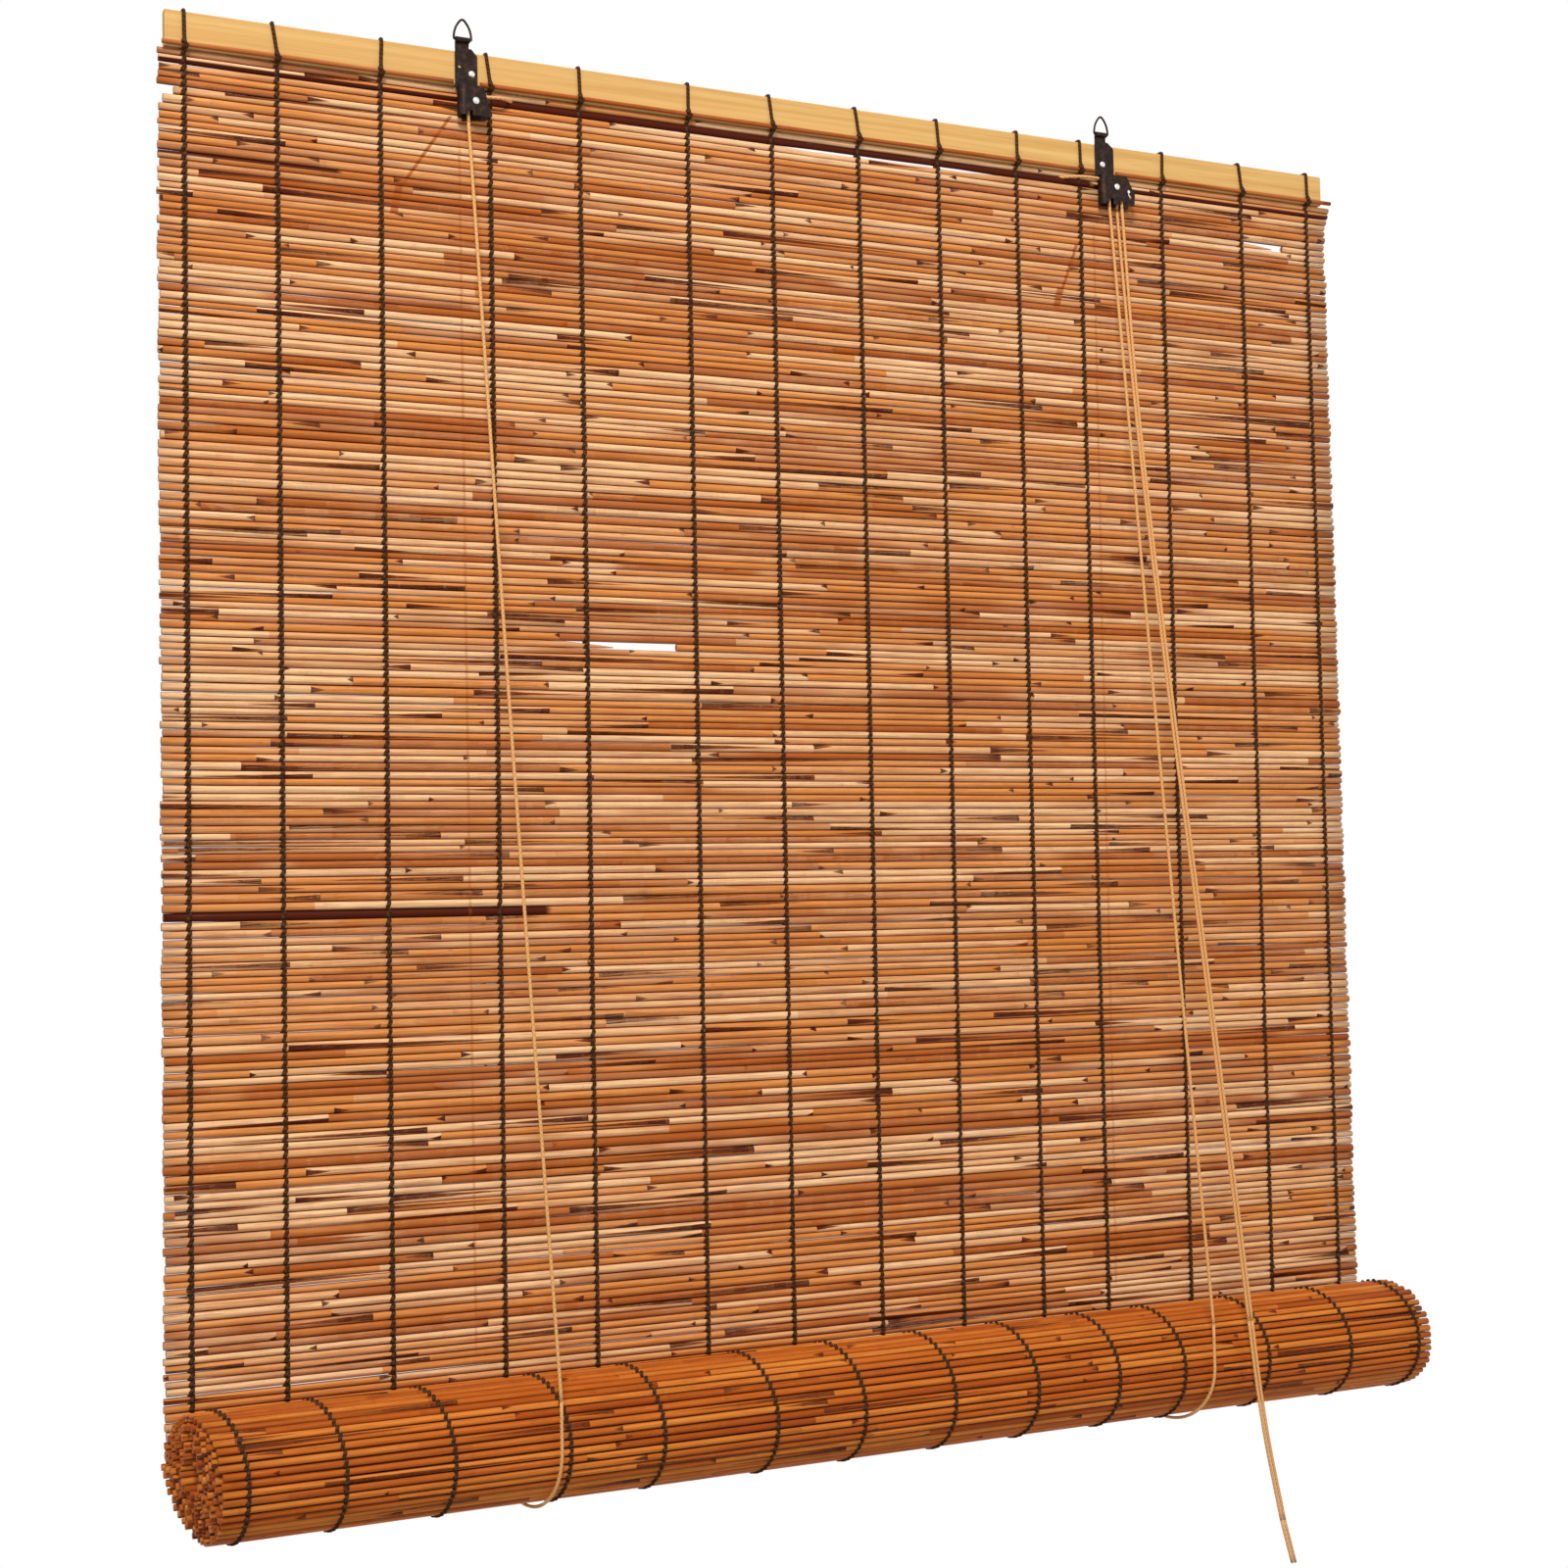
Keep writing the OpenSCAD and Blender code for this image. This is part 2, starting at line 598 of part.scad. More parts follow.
// Through an eye, from the front of the mat to the back: way along, depth, and share of the height difference
function dip(front_y, drop) = [
    for (p = [[0, front_y, 0.5], [5, mid_y - 4, 0.25], [10, mid_y + 2, 0.1], [16, rear_cord_y, 0]])
        [p[0], p[1], cross_z - p[2] * drop]
];
module cross_cord() {
    left_top = left_axle[1] + left_line_r;
    right_top = right_axle[1] + right_line_r;
    le = left_eye_x;
    re = right_eye_x + eye_w;
    color("tan")
        cord(concat(
            [[left_strand_x, bay_y - 0.5, exit_z]],
            over(left_x, bay_y, left_axle, left_line_r, 180, 90, 4),
            [[le - 12, bay_y, left_top + 0.6]],
            [for (p = dip(bay_y + 0.6, cross_z - left_top)) [le + p[0], p[1], p[2]]],
            [[batten_shift, rear_cord_y, cross_z - 1]],
            [for (p = reversed(dip(cross_y, cross_z - right_top))) [re - p[0], p[1], p[2]]],
            over(right_x, cross_y, right_axle, right_line_r, 90, -10, 4),
            [crossed_exit]
        ), [0, 1, 0]);
}

// Short length of the right lift cord over its pulley, from the bracket's bottom and back to it
module right_turn_cord() {
    color("tan")
        cord(concat(
            [[right_strand_x, lift_y - 0.2, exit_z]],
            over(right_x, lift_y, right_axle, right_line_r, 180, 0, 9),
            [own_exit]
        ), [0, 1, 0]);
}

// Tied end of a lift cord: a loop round the rivet, the knot under it, and the free tail with its own knot
module tied_end(fixing_x, fixing_z, tail) {
    knot = [fixing_x, tie_y + 1.2, knot_z(fixing_z)];
    color("tan") {
        translate([fixing_x, tie_y, fixing_z]) rotate([90, 0, 0])
            rotate_extrude($fn = 32) translate([tie_r, 0]) circle(r = cord_r, $fn = 16);
        translate(knot) sphere(r = knot_r, $fn = 24);
        cord(concat([knot], tail), [0, 1, 0]);
        translate(tail[len(tail) - 1]) sphere(r = knot_r - 0.2, $fn = 24);
    }
}
// Free tails, from the middle of each rivet's loop
left_tail = from_place([left_rear_x, tie_y, left_fixing[1]],
    [[-3.5, 1.2, -7], [-7, 0.9, -15.5], [-13.5, 0.9, -30.5], [-22.5, 0.9, -48.5], [-35.5, 0.9, -70.5],
     [-49.5, 0.9, -96.5]]);
right_tail = from_place([right_rear_x, tie_y, right_fixing[1]],
    [[-3.3, 2, -7.5], [-4.6, 2.2, -17], [-7, 2.2, -30], [-11.5, 2.2, -49], [-20.5, 1.8, -73],
     [-31.5, 1.4, -103]]);

head_batten();
reed_mat();
mat_roll();
for (i = [1:twine_count]) {
    warp_twine(i - 1);
    roll_twine(i - 1);
}
left_bracket();
right_bracket();
translate([-ring_span / 2, 0, 0]) hanging_ring();  // left_ring
translate([ring_span / 2, 0, 0]) hanging_ring();  // right_ring
pulley([left_x + left_axle[0], left_axle[1]], left_line_r, [0]);  // left_pulley
pulley([right_x + right_axle[0], right_axle[1]], right_line_r, [-groove_pitch / 2, groove_pitch / 2]);  // right_pulley
pulley_axles();
fixing_rivets();
lock_roller();
rear_cord(left_rear_x, left_low_x, left_fixing[1]);  // left_rear_cord
rear_cord(right_rear_x, right_low_x, right_fixing[1]);  // right_rear_cord
under_cord(left_low_x, left_front_x);  // left_under_cord
under_cord(right_low_x, right_front_x);  // right_under_cord
front_cord(left_front_x, left_strand_x, bay_y - 0.5);  // left_front_cord
front_cord(right_front_x, right_strand_x, lift_y - 0.2);  // right_front_cord
cross_cord();
right_turn_cord();
tied_end(left_rear_x, left_fixing[1], left_tail);  // left_tied_end
tied_end(right_rear_x, right_fixing[1], right_tail);  // right_tied_end
color("tan") {  // pull_cord_upper
    cord(concat([own_exit], pull_route), [1, 0, 0]);
    cord(concat([crossed_exit], beside(pull_route)), [1, 0, 0]);
}
color("tan") {  // pull_cord_lower
    cord(lower_route, [1, 0, 0]);
    cord(beside(lower_route), [1, 0, 0]);
}
color("tan") {  // pull_cord_ends
    cord(end_route, [1, 0, 0]);
    cord(beside(end_route), [1, 0, 0]);
}
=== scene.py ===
import bpy, bmesh, json, math, random
from mathutils import Matrix, Vector


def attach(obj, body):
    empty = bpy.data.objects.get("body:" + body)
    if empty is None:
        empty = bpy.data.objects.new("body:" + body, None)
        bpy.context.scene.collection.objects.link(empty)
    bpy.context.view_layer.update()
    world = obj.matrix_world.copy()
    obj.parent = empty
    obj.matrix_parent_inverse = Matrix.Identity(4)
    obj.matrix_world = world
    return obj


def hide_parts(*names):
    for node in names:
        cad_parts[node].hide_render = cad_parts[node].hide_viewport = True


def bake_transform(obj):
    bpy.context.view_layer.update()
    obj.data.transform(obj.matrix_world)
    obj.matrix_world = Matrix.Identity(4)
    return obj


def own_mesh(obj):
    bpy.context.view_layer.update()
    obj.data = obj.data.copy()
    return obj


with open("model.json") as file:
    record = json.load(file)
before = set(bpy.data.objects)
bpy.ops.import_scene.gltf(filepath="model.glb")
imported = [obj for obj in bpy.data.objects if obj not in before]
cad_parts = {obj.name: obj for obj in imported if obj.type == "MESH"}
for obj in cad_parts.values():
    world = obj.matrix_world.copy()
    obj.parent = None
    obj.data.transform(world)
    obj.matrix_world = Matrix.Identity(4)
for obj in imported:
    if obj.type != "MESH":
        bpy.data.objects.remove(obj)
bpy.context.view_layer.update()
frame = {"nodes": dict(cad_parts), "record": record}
MM = 0.001

# Lengths are in mm and angles in degrees, except where a line says otherwise.

# ---------------------------------------------------------------- camera
PICTURE_PX, FOCAL_PX, SENSOR = 1600.0, 2308.0, 36.0
CAMERA_AT = (-0.6920, -1.4182, -0.5840)  # metres
CAMERA_TURNS = (("Z", -25.18), ("X", 2.87), ("Y", 1.11))  # from looking along +Y

cam_data = bpy.data.cameras.new("camera")
cam_data.sensor_width = SENSOR
cam_data.lens = SENSOR * FOCAL_PX / PICTURE_PX
camera = bpy.data.objects.new("camera", cam_data)
bpy.context.scene.collection.objects.link(camera)
aim = Matrix.Identity(3)
for axis, angle in CAMERA_TURNS:
    aim = aim @ Matrix.Rotation(math.radians(angle), 3, axis)
right, ahead, up = aim @ Vector((1, 0, 0)), aim @ Vector((0, 1, 0)), aim @ Vector((0, 0, 1))
placed = Matrix((right, up, -ahead)).transposed().to_4x4()
placed.translation = Vector(CAMERA_AT)
camera.matrix_world = placed
bpy.context.scene.camera = camera

# ---------------------------------------------------------------- sizes, as in the CAD
BATTEN_W, BATTEN_T, BATTEN_Z = 900, 8, -43
BATTEN_TOP = -19.1              # with room for a strand of twine
SHIFT = 7                       # the batten's middle in x
FACE_Y = 1.76                   # the batten's front
MID_Y = FACE_Y + BATTEN_T / 2   # the mat hangs under its middle
MAT_Z = -43.2
PITCH, REED_R, REEDS = 5.0, 2.3, 176
HALF = BATTEN_W / 2 + 4
ROLL_R, TURN, TURNS = 36.7, 5.4, 6
ROLL_Y, ROLL_Z = MID_Y - ROLL_R, MAT_Z - REEDS * PITCH
TWINES, TWINE_SPAN = 14, 876
WANDER = (0, -9, -9, -2, -6, 6, 3, 4, 2, 1, -11, -5, 2, -2)
COLUMNS = [SHIFT - TWINE_SPAN / 2 + TWINE_SPAN * i / (TWINES - 1) + off
           for i, off in enumerate(WANDER)]
TWINE_R, ROLL_TWINE_R, STRAND_R, KNOT_STRAND_R = 1.5, 1.25, 1.3, 1.0
TWINE_SWING = 0.95
CORD_R = 1.1
EDGE_Y, EDGE_Z = FACE_Y - 1.3, BATTEN_Z + 1.9  # the thin reed on the batten's lower front edge
# For its motion the mat is in three lengths, which end at row TOP_REEDS, at row FOOT_REED and at the roll
TOP_REEDS, FOOT_REED = 10, 173
STROKE = 800.0                  # how far the roll rises
FOOT_GAP = 1.8                  # what the pressed mat leaves free above its foot


# ---------------------------------------------------------------- shapes
def tubes(name, runs, sides=8, rim=0.0):
    """One mesh of round tubes. A run is its points, its radii, its own number, and how far its outer
    side is turned from +Z. Every vertex carries along (mm), own, and out and side, which are 1 on the
    outer side and on the side a quarter turn before it. With a rim, the cut ends inside that rim are
    the piece's second material."""
    data = bpy.data.curves.new(name, "CURVE")
    data.dimensions = "3D"
    data.bevel_depth = MM
    data.bevel_resolution = sides // 2 - 2
    data.twist_mode = "MINIMUM"
    for points, radii, own, outer in runs:
        line = data.splines.new("POLY")
        line.points.add(len(points) - 1)
        for p, co, r in zip(line.points, points, radii):
            p.co = (co[0] * MM, co[1] * MM, co[2] * MM, 1)
            p.radius = r
    temp = bpy.data.objects.new(name + "_line", data)
    bpy.context.scene.collection.objects.link(temp)
    bpy.context.view_layer.update()
    graph = bpy.context.evaluated_depsgraph_get()
    mesh = bpy.data.meshes.new_from_object(temp.evaluated_get(graph))
    bpy.data.objects.remove(temp)
    bpy.data.curves.remove(data)
    piece = bpy.data.objects.new(name, mesh)
    bpy.context.scene.collection.objects.link(piece)
    ring = len(mesh.vertices) // sum(len(run[0]) for run in runs)
    marks = {"along": [], "out": [], "side": [], "own": []}
    for points, radii, own, outer in runs:
        far = 0.0
        for i, p in enumerate(points):
            if i:
                far += (Vector(p) - Vector(points[i - 1])).length
            for k in range(ring):
                angle = 2 * math.pi * (k - ring // 8) / ring - math.radians(outer)
                marks["along"].append(far)
                marks["out"].append(math.cos(angle))
                marks["side"].append(-math.sin(angle))
                marks["own"].append(own)
    for key, values in marks.items():
        mesh.attributes.new(key, "FLOAT", "POINT").data.foreach_set("value", values)
    mesh.shade_smooth()
    tube = bmesh.new()
    tube.from_mesh(mesh)
    open_edges = [e for e in tube.edges if e.is_boundary]
    ends = bmesh.ops.holes_fill(tube, edges=open_edges, sides=ring)["faces"]
    flat = list(ends)
    if rim:
        flat += bmesh.ops.inset_individual(tube, faces=ends, thickness=rim * MM)["faces"]
        for face in ends:
            face.material_index = 1
    for face in flat:
        face.smooth = False
    tube.to_mesh(mesh)
    tube.free()
    return piece


def smooth(points, step=6.0):
    """A smooth line through the given points, with a point about every step mm."""
    p = [Vector(q) for q in points]
    gaps = [(b - a).length for a, b in zip(p, p[1:])]
    rates = [(b - a) / gap for a, b, gap in zip(p, p[1:], gaps)]
    bends = [(rates[i] * gaps[i + 1] + rates[i + 1] * gaps[i]) / (gaps[i] + gaps[i + 1])
             for i in range(len(gaps) - 1)]
    bends = [rates[0]] + bends + [rates[-1]]
    line = []
    for i, gap in enumerate(gaps):
        n = max(1, round(gap / step))
        for k in range(n):
            t = k / n
            line.append(p[i] * (1 + t * t * (2 * t - 3)) + p[i + 1] * (t * t * (3 - 2 * t))
                        + bends[i] * gap * (t - 2 * t * t + t ** 3)
                        + bends[i + 1] * gap * (t ** 3 - t * t))
    return [tuple(q) for q in line + [p[-1]]]


# ---------------------------------------------------------------- cords
# Each bracket's x, its pulley's axle (x from there, and z) and groove radius, and its fixing rivet (x, z)
LEFT_X, LEFT_AXLE, LEFT_R, LEFT_FIX = -255, (11.6, -55.0), 4.2, (-243.5, -34.5)
RIGHT_X, RIGHT_AXLE, RIGHT_R, RIGHT_FIX = 245, (13.5, -53.7), 5.5, (251.6, -35.0)
BAY_Y = FACE_Y - 4.7                             # the middle between a bracket's plates
LIFT_Y, CROSS_Y = BAY_Y - 1.5, BAY_Y + 1.5       # the right pulley's front and rear groove
REAR_Y = MID_Y + REED_R + 1.1 + 0.7 + CORD_R     # clear of the twine behind the mat
LOOP_R = REAR_Y - ROLL_Y
EXIT_Z = -69.3                                   # where cords leave the brackets
TAIL_R = 1.2                                     # the fixing rivet's tail behind the batten
TIE_R = TAIL_R + 0.3 + CORD_R
TIE_Y = FACE_Y + BATTEN_T + 0.3 + CORD_R
TIE_DROP = 7.15                                  # from the rivet to where the rear cord starts
REAR_TOP = -41.7                                 # about there, the rear cords' fixed end when they shorten
TIE_KNOT_R, TAIL_KNOT_R = 2.0, 1.9
LEFT_BACK, LEFT_FRONT = -238, -220               # x of the cords at the roll, behind and in front
RIGHT_BACK, RIGHT_FRONT = 246, 270
FRONT_RISE = 30                                  # the cord round the roll ends this far above its middle
LEFT_STRAND = LEFT_X + LEFT_AXLE[0] - LEFT_R     # x of the front cords at the brackets
RIGHT_STRAND = RIGHT_X + RIGHT_AXLE[0] - RIGHT_R
OWN_EXIT = (RIGHT_X + RIGHT_AXLE[0] + RIGHT_R, LIFT_Y - 0.2, EXIT_Z)
CROSSED_EXIT = (OWN_EXIT[0] - 2.6, OWN_EXIT[1] + 3, EXIT_Z)
PULL = [(266, -14, -204), (275, -33, -420), (289, -56, -670), (301, -74, -880), (301.8, -75, -893.2)]
LOWER = [(301.8, -75, -893.2), (304, -77, -925), (309, -79, -970), (321, -80.5, -1035)]
END = [(321, -80.5, -1035), (329, -81, -1066)]
LEFT_TAIL = [(-247, 12.3, -41.5), (-250.5, 12, -50), (-257, 12, -65), (-266, 12, -83),
             (-279, 12, -105), (-293, 12, -131)]
RIGHT_TAIL = [(248.3, 13.2, -42.5), (247, 13.4, -52), (244.5, 13.4, -65), (240, 13.4, -84),
              (231, 13, -108), (220, 12.6, -138)]


def beside(points):
    """The left cord's pull strand, beside the right cord's."""
    return [(p[0] - 2.7, p[1] + 0.2, p[2]) for p in points]


def cord_piece(name, lines, *nodes):
    piece = tubes(name, [(line, [CORD_R] * len(line), i, 0) for i, line in enumerate(lines)])
    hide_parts(*nodes)
    return piece


def free_cord(name, line, node):
    """A cord along a line, in place of the node. Its path in metres is worked out but not used."""
    piece = cord_piece(name, [line], node)
    path = [tuple(c * MM for c in q) for q in line]
    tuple(path[0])
    return piece


def strands(name_end, own, crossed, step, node):
    """One length of the two pull strands: the right cord's and the left cord's."""
    return [free_cord("pull_strand_" + side + name_end, smooth(line, step), node)
            for side, line in (("right", own), ("left", crossed))]


def rear(fix, back):
    """From the tie down behind the mat."""
    top = fix[1] - TIE_DROP
    return [(fix[0], TIE_Y, top), (fix[0] * 0.99 + back * 0.01, REAR_Y, top - 12),
            ((fix[0] + back) / 2, REAR_Y, (top + ROLL_Z) / 2), (back, REAR_Y, ROLL_Z)]


def under(back, front, n=40):
    """Close round the bottom of the roll, and sideways on the way."""
    arc = []
    for k in range(n + 1):
        b = math.pi * k / n
        arc.append(((back + front) / 2 + (back - front) / 2 * math.cos(b),
                    ROLL_Y + LOOP_R * math.cos(b), ROLL_Z - LOOP_R * math.sin(b)))
    return arc + [(front, ROLL_Y - LOOP_R, ROLL_Z + FRONT_RISE * k / 3) for k in (1, 2, 3)]


def front(low_x, top_x, top_y):
    """From the bracket down to the front of the roll."""
    low_y = ROLL_Y - LOOP_R
    return smooth([(top_x, top_y, EXIT_Z),
                   ((low_x + top_x) / 2, (low_y + top_y) / 2, (ROLL_Z + EXIT_Z) / 2),
                   (low_x, low_y, ROLL_Z + FRONT_RISE)])


def over(x, y, axle, r, start, end, n):
    """Round the pulley of the bracket at x, from one angle to the other."""
    points = []
    for k in range(n + 1):
        b = math.radians(start + (end - start) * k / n)
        points.append((x + axle[0] + r * math.cos(b), y, axle[1] + r * math.sin(b)))
    return points


def cross_line():
    """Over the left pulley, through the mat, behind it, back through it and over the right pulley."""
    cross_z = MAT_Z - PITCH
    left_top, right_top = LEFT_AXLE[1] + LEFT_R, RIGHT_AXLE[1] + RIGHT_R
    left_slot, right_slot = COLUMNS[3] + 8, COLUMNS[10] - 8

    def dip(y, drop):
        """x from the slot, y and z, from in front of the mat to behind it."""
        steps = ((0, y, 0.5), (5, MID_Y - 4, 0.25), (10, MID_Y + 2, 0.1), (16, REAR_Y, 0), (26, REAR_Y, 0))
        return [(x, out, cross_z - share * drop) for x, out, share in steps]

    line = [(LEFT_STRAND, BAY_Y - 0.5, EXIT_Z)] + over(LEFT_X, BAY_Y, LEFT_AXLE, LEFT_R, 180, 90, 8)
    line += [(left_slot - 12, BAY_Y, left_top + 0.6)]
    line += [(left_slot + x, y, z) for x, y, z in dip(BAY_Y + 0.6, cross_z - left_top)]
    line += [(SHIFT, REAR_Y, cross_z - 1)]
    line += [(right_slot - x, y, z) for x, y, z in reversed(dip(CROSS_Y, cross_z - right_top))]
    line += over(RIGHT_X, CROSS_Y, RIGHT_AXLE, RIGHT_R, 90, -10, 8) + [CROSSED_EXIT]
    return line


def knot(centre, r, spin, n=36):
    """An overhand knot, pulled flat. Its spin is in radians."""
    points = []
    c, s = math.cos(spin), math.sin(spin)
    for i in range(n + 1):
        t = 2 * math.pi * i / n
        x, y = math.sin(t) + 2 * math.sin(2 * t), math.cos(t) - 2 * math.cos(2 * t)
        z = -math.sin(3 * t)
        points.append((centre[0] + r * 0.33 * (x * c + z * s), centre[1] + r * 0.33 * y * 0.8,
                       centre[2] + r * 0.36 * (z * c - x * s)))
    return points


def tie_centre(fix):
    """Where the tie's knot is, under the rivet's tail."""
    return (fix[0], TIE_Y + 1.2, fix[1] - TIE_R - 2)


def tied(fix, spin):
    """Cord once round the rivet's tail, and its knot."""
    ring = []
    for a in range(-110, 271, 20):
        b = math.radians(a)
        ring.append((fix[0] + TIE_R * math.cos(b), TIE_Y + 0.35 * math.sin(b / 2),
                     fix[1] + TIE_R * math.sin(b)))
    return [smooth(ring, 1.2), knot(tie_centre(fix), TIE_KNOT_R, spin)]


pull_upper = strands("", [OWN_EXIT] + PULL, [CROSSED_EXIT] + beside(PULL), 8, "pull_cord_upper")
pull_lower = strands("_lower", LOWER, beside(LOWER), 6.0, "pull_cord_lower")
pull_ends = strands("_end", END, beside(END), 6.0, "pull_cord_ends")
tail_knots = [cord_piece("left_tail_knot", [knot(LEFT_TAIL[-1], TAIL_KNOT_R, 1.4)], "left_tied_end"),
              cord_piece("right_tail_knot", [knot(RIGHT_TAIL[-1], TAIL_KNOT_R, 2.7)], "right_tied_end")]
tails = [free_cord("left_cord_tail", smooth([tie_centre(LEFT_FIX)] + LEFT_TAIL, 4), "left_tied_end"),
         free_cord("right_cord_tail", smooth([tie_centre(RIGHT_FIX)] + RIGHT_TAIL, 4), "right_tied_end")]
cords_up = cord_piece(
    "lift_cords_front", [front(LEFT_FRONT, LEFT_STRAND, BAY_Y - 0.5),
                         front(RIGHT_FRONT, RIGHT_STRAND, LIFT_Y - 0.2)],
    "left_front_cord", "right_front_cord")
cords_rear = cord_piece(
    "lift_cords_rear", [smooth(rear(LEFT_FIX, LEFT_BACK)), smooth(rear(RIGHT_FIX, RIGHT_BACK))],
    "left_rear_cord", "right_rear_cord")
cords_under = cord_piece(
    "lift_cords_under", [under(LEFT_BACK, LEFT_FRONT), under(RIGHT_BACK, RIGHT_FRONT)],
    "left_under_cord", "right_under_cord")
cord_cross = cord_piece("crossing_cord", [smooth(cross_line(), 3)], "cross_cord")
turn_line = ([(RIGHT_STRAND, LIFT_Y - 0.2, EXIT_Z)]
             + over(RIGHT_X, LIFT_Y, RIGHT_AXLE, RIGHT_R, 180, 0, 14) + [OWN_EXIT])
cord_turn = cord_piece("turning_cord", [smooth(turn_line, 2)], "right_turn_cord")
cord_ties = cord_piece("tied_cords", tied(LEFT_FIX, 0.4) + tied(RIGHT_FIX, 1.7),
                       "left_tied_end", "right_tied_end")

# ---------------------------------------------------------------- reeds
REED_STEPS = 30
REED_RIM = 0.4                  # the skin round a cut end
WOBBLE = 0.3
JOINT_EVERY, JOINT_SWELL, END_TAPER = 7, 0.1, 0.15
FIRST_ROLL_REED, FIRST_EDGE_REED = 200, 390  # own numbers; the flat mat's are 1 to 176


def smooth_noise(rng, count, size):
    """Values that wander smoothly."""
    knots = [rng.uniform(-size, size) for _ in range(count // 3 + 3)]
    out = []
    for i in range(count):
        k = int(i / 3)
        f = i / 3 - k
        f = f * f * (3 - 2 * f)
        out.append(knots[k] * (1 - f) + knots[k + 1] * f)
    return out


def reed_run(rng, own, place, outer, low, high, sway, ragged, add=(0, 0)):
    """One reed across the blind, between low and high in radius. place(x, out, sway) gives its points,
    ragged is how far its ends vary, and add lengthens the left and the right one."""
    left = SHIFT - HALF + rng.uniform(-0.8, ragged) - add[0]
    right_end = SHIFT + HALF - rng.uniform(-0.8, ragged) + add[1]
    out_wave = smooth_noise(rng, REED_STEPS + 1, WOBBLE)
    mat_wave = smooth_noise(rng, REED_STEPS + 1, sway)
    thick, thin = rng.uniform((low + high) / 2, high), rng.uniform(low, (low + high) / 2)
    flip = rng.random() < 0.5
    joint = rng.randrange(4, 9)
    points, radii = [], []
    for i in range(REED_STEPS + 1):
        t = i / REED_STEPS
        r = thick + (thin - thick) * (1 - t if flip else t)
        if (i + joint) % JOINT_EVERY == 0:
            r += JOINT_SWELL
        if i in (0, REED_STEPS):
            r -= END_TAPER
        points.append(place(left + (right_end - left) * t, out_wave[i], mat_wave[i]))
        radii.append(r)
    return points, radii, own, outer


def reed_levels(rng):
    """How far below the mat's top each reed starts: some are thick and some are thin."""
    broad = smooth_noise(rng, REEDS, 0.12)
    widths = [1 + rng.uniform(-0.14, 0.14) + b for b in broad]
    share = PITCH * REEDS / sum(widths)
    levels = [0.0]
    for w in widths:
        levels.append(levels[-1] + w * share)
    return levels


LEVELS = reed_levels(random.Random(7))


def level(t):
    i = min(int(t), REEDS - 1)
    return LEVELS[i] + (LEVELS[i + 1] - LEVELS[i]) * (t - i)


def row_at(depth):
    """The reed that lies this far below the mat's top."""
    return max(i for i, top in enumerate(LEVELS) if top <= depth)


# Reeds that aren't like the rest. Longer at the left and right end by:
ENDS = {row_at(2): (0, 5), row_at(7): (0, 5), row_at(12): (0, 3), row_at(27): (-9, 0),
        row_at(32): (-3, 0)}
# Apart from the next one, from x to x: moved by, and thinner by:
SLITS = {row_at(7): (-5, 150, 0.25, 0.35), row_at(12): (-5, 150, -0.75, 0.3)}
# Split away, from x to x:
SPLITS = {row_at(368): (-160, -102), row_at(38): (398, 420)}


def flat_place(row):
    z = MAT_Z - level(row + 0.5)

    def place(x, out, sway):
        return (x, MID_Y + out, z + sway)
    return place


def slit(run, low_x, high_x, shift, thinner):
    points, radii, own, outer = run
    inside = [low_x < p[0] < high_x for p in points]
    points = [(p[0], p[1], p[2] + shift * hit) for p, hit in zip(points, inside)]
    return points, [r - thinner * hit for r, hit in zip(radii, inside)], own, outer


def split(run, low_x, high_x):
    """The reed with a stretch gone: its left part runs out thin, and its right part starts blunt."""
    points, radii, own, outer = run
    pairs = list(zip(points, radii))
    left = [q for q in pairs if q[0][0] < low_x - 30]
    rest = [q for q in pairs if q[0][0] > high_x + 6]
    (x, y, z), r = left[-1]
    left += [((low_x - 22, y, z), r * 0.9), ((low_x, y, z - 0.8), r * 0.5),
             ((low_x + 12, y, z - 1.2), r * 0.15)]
    (x, y, z), r = rest[0]
    rest.insert(0, ((high_x, y, z), r))
    return [([q[0] for q in part], [q[1] for q in part], own, outer) for part in (left, rest)]


def edge_reeds(rng):
    """A thin reed along the batten's lower front edge, broken off at the brackets' plates."""
    stretches = ((SHIFT - HALF + 2, LEFT_X - 1.5), (LEFT_X + 17, RIGHT_X - 1.5),
                 (RIGHT_X + 18, SHIFT + HALF + 4))
    runs = []
    for k, (a, b) in enumerate(stretches):
        n = max(3, round((b - a) / 30))
        wave = smooth_noise(rng, n + 1, 0.35)
        points = [(a + (b - a) * i / n, EDGE_Y, EDGE_Z + wave[i]) for i in range(n + 1)]
        radii = [1.55 + 0.15 * math.sin(i + k) for i in range(n + 1)]
        runs.append((points, radii, FIRST_EDGE_REED + k, 90))
    return runs


def roll_radius(a):
    """Each turn is round for three quarters, then steps in to let the next one pass over it."""
    step = max(0.0, min(1.0, ((a % 360) - 270) / 90))
    return ROLL_R - TURN * (a // 360 + step)


def roll_slip(a, r, x):
    """How far sideways the mat lies at an angle round the roll. It wasn't rolled up true, so the roll's
    ends are slanted, and the right one less than the left one."""
    b = math.radians(a)
    if a < 180:
        slip = 19 * math.sin(b / 2)
    else:
        slip = 7.5 + (5 * max(0.0, math.sin(b)) - 11.5 * math.cos(b)) * r / ROLL_R
    return slip * (0.87 - 0.13 * (x - SHIFT) / HALF)


def roll_place(a, r):
    def place(x, out, sway):
        q, b = r + out * 0.5, math.radians(a) + sway / r * 0.6
        return (x + roll_slip(a, r, x), ROLL_Y + q * math.cos(b), ROLL_Z - q * math.sin(b))
    return place


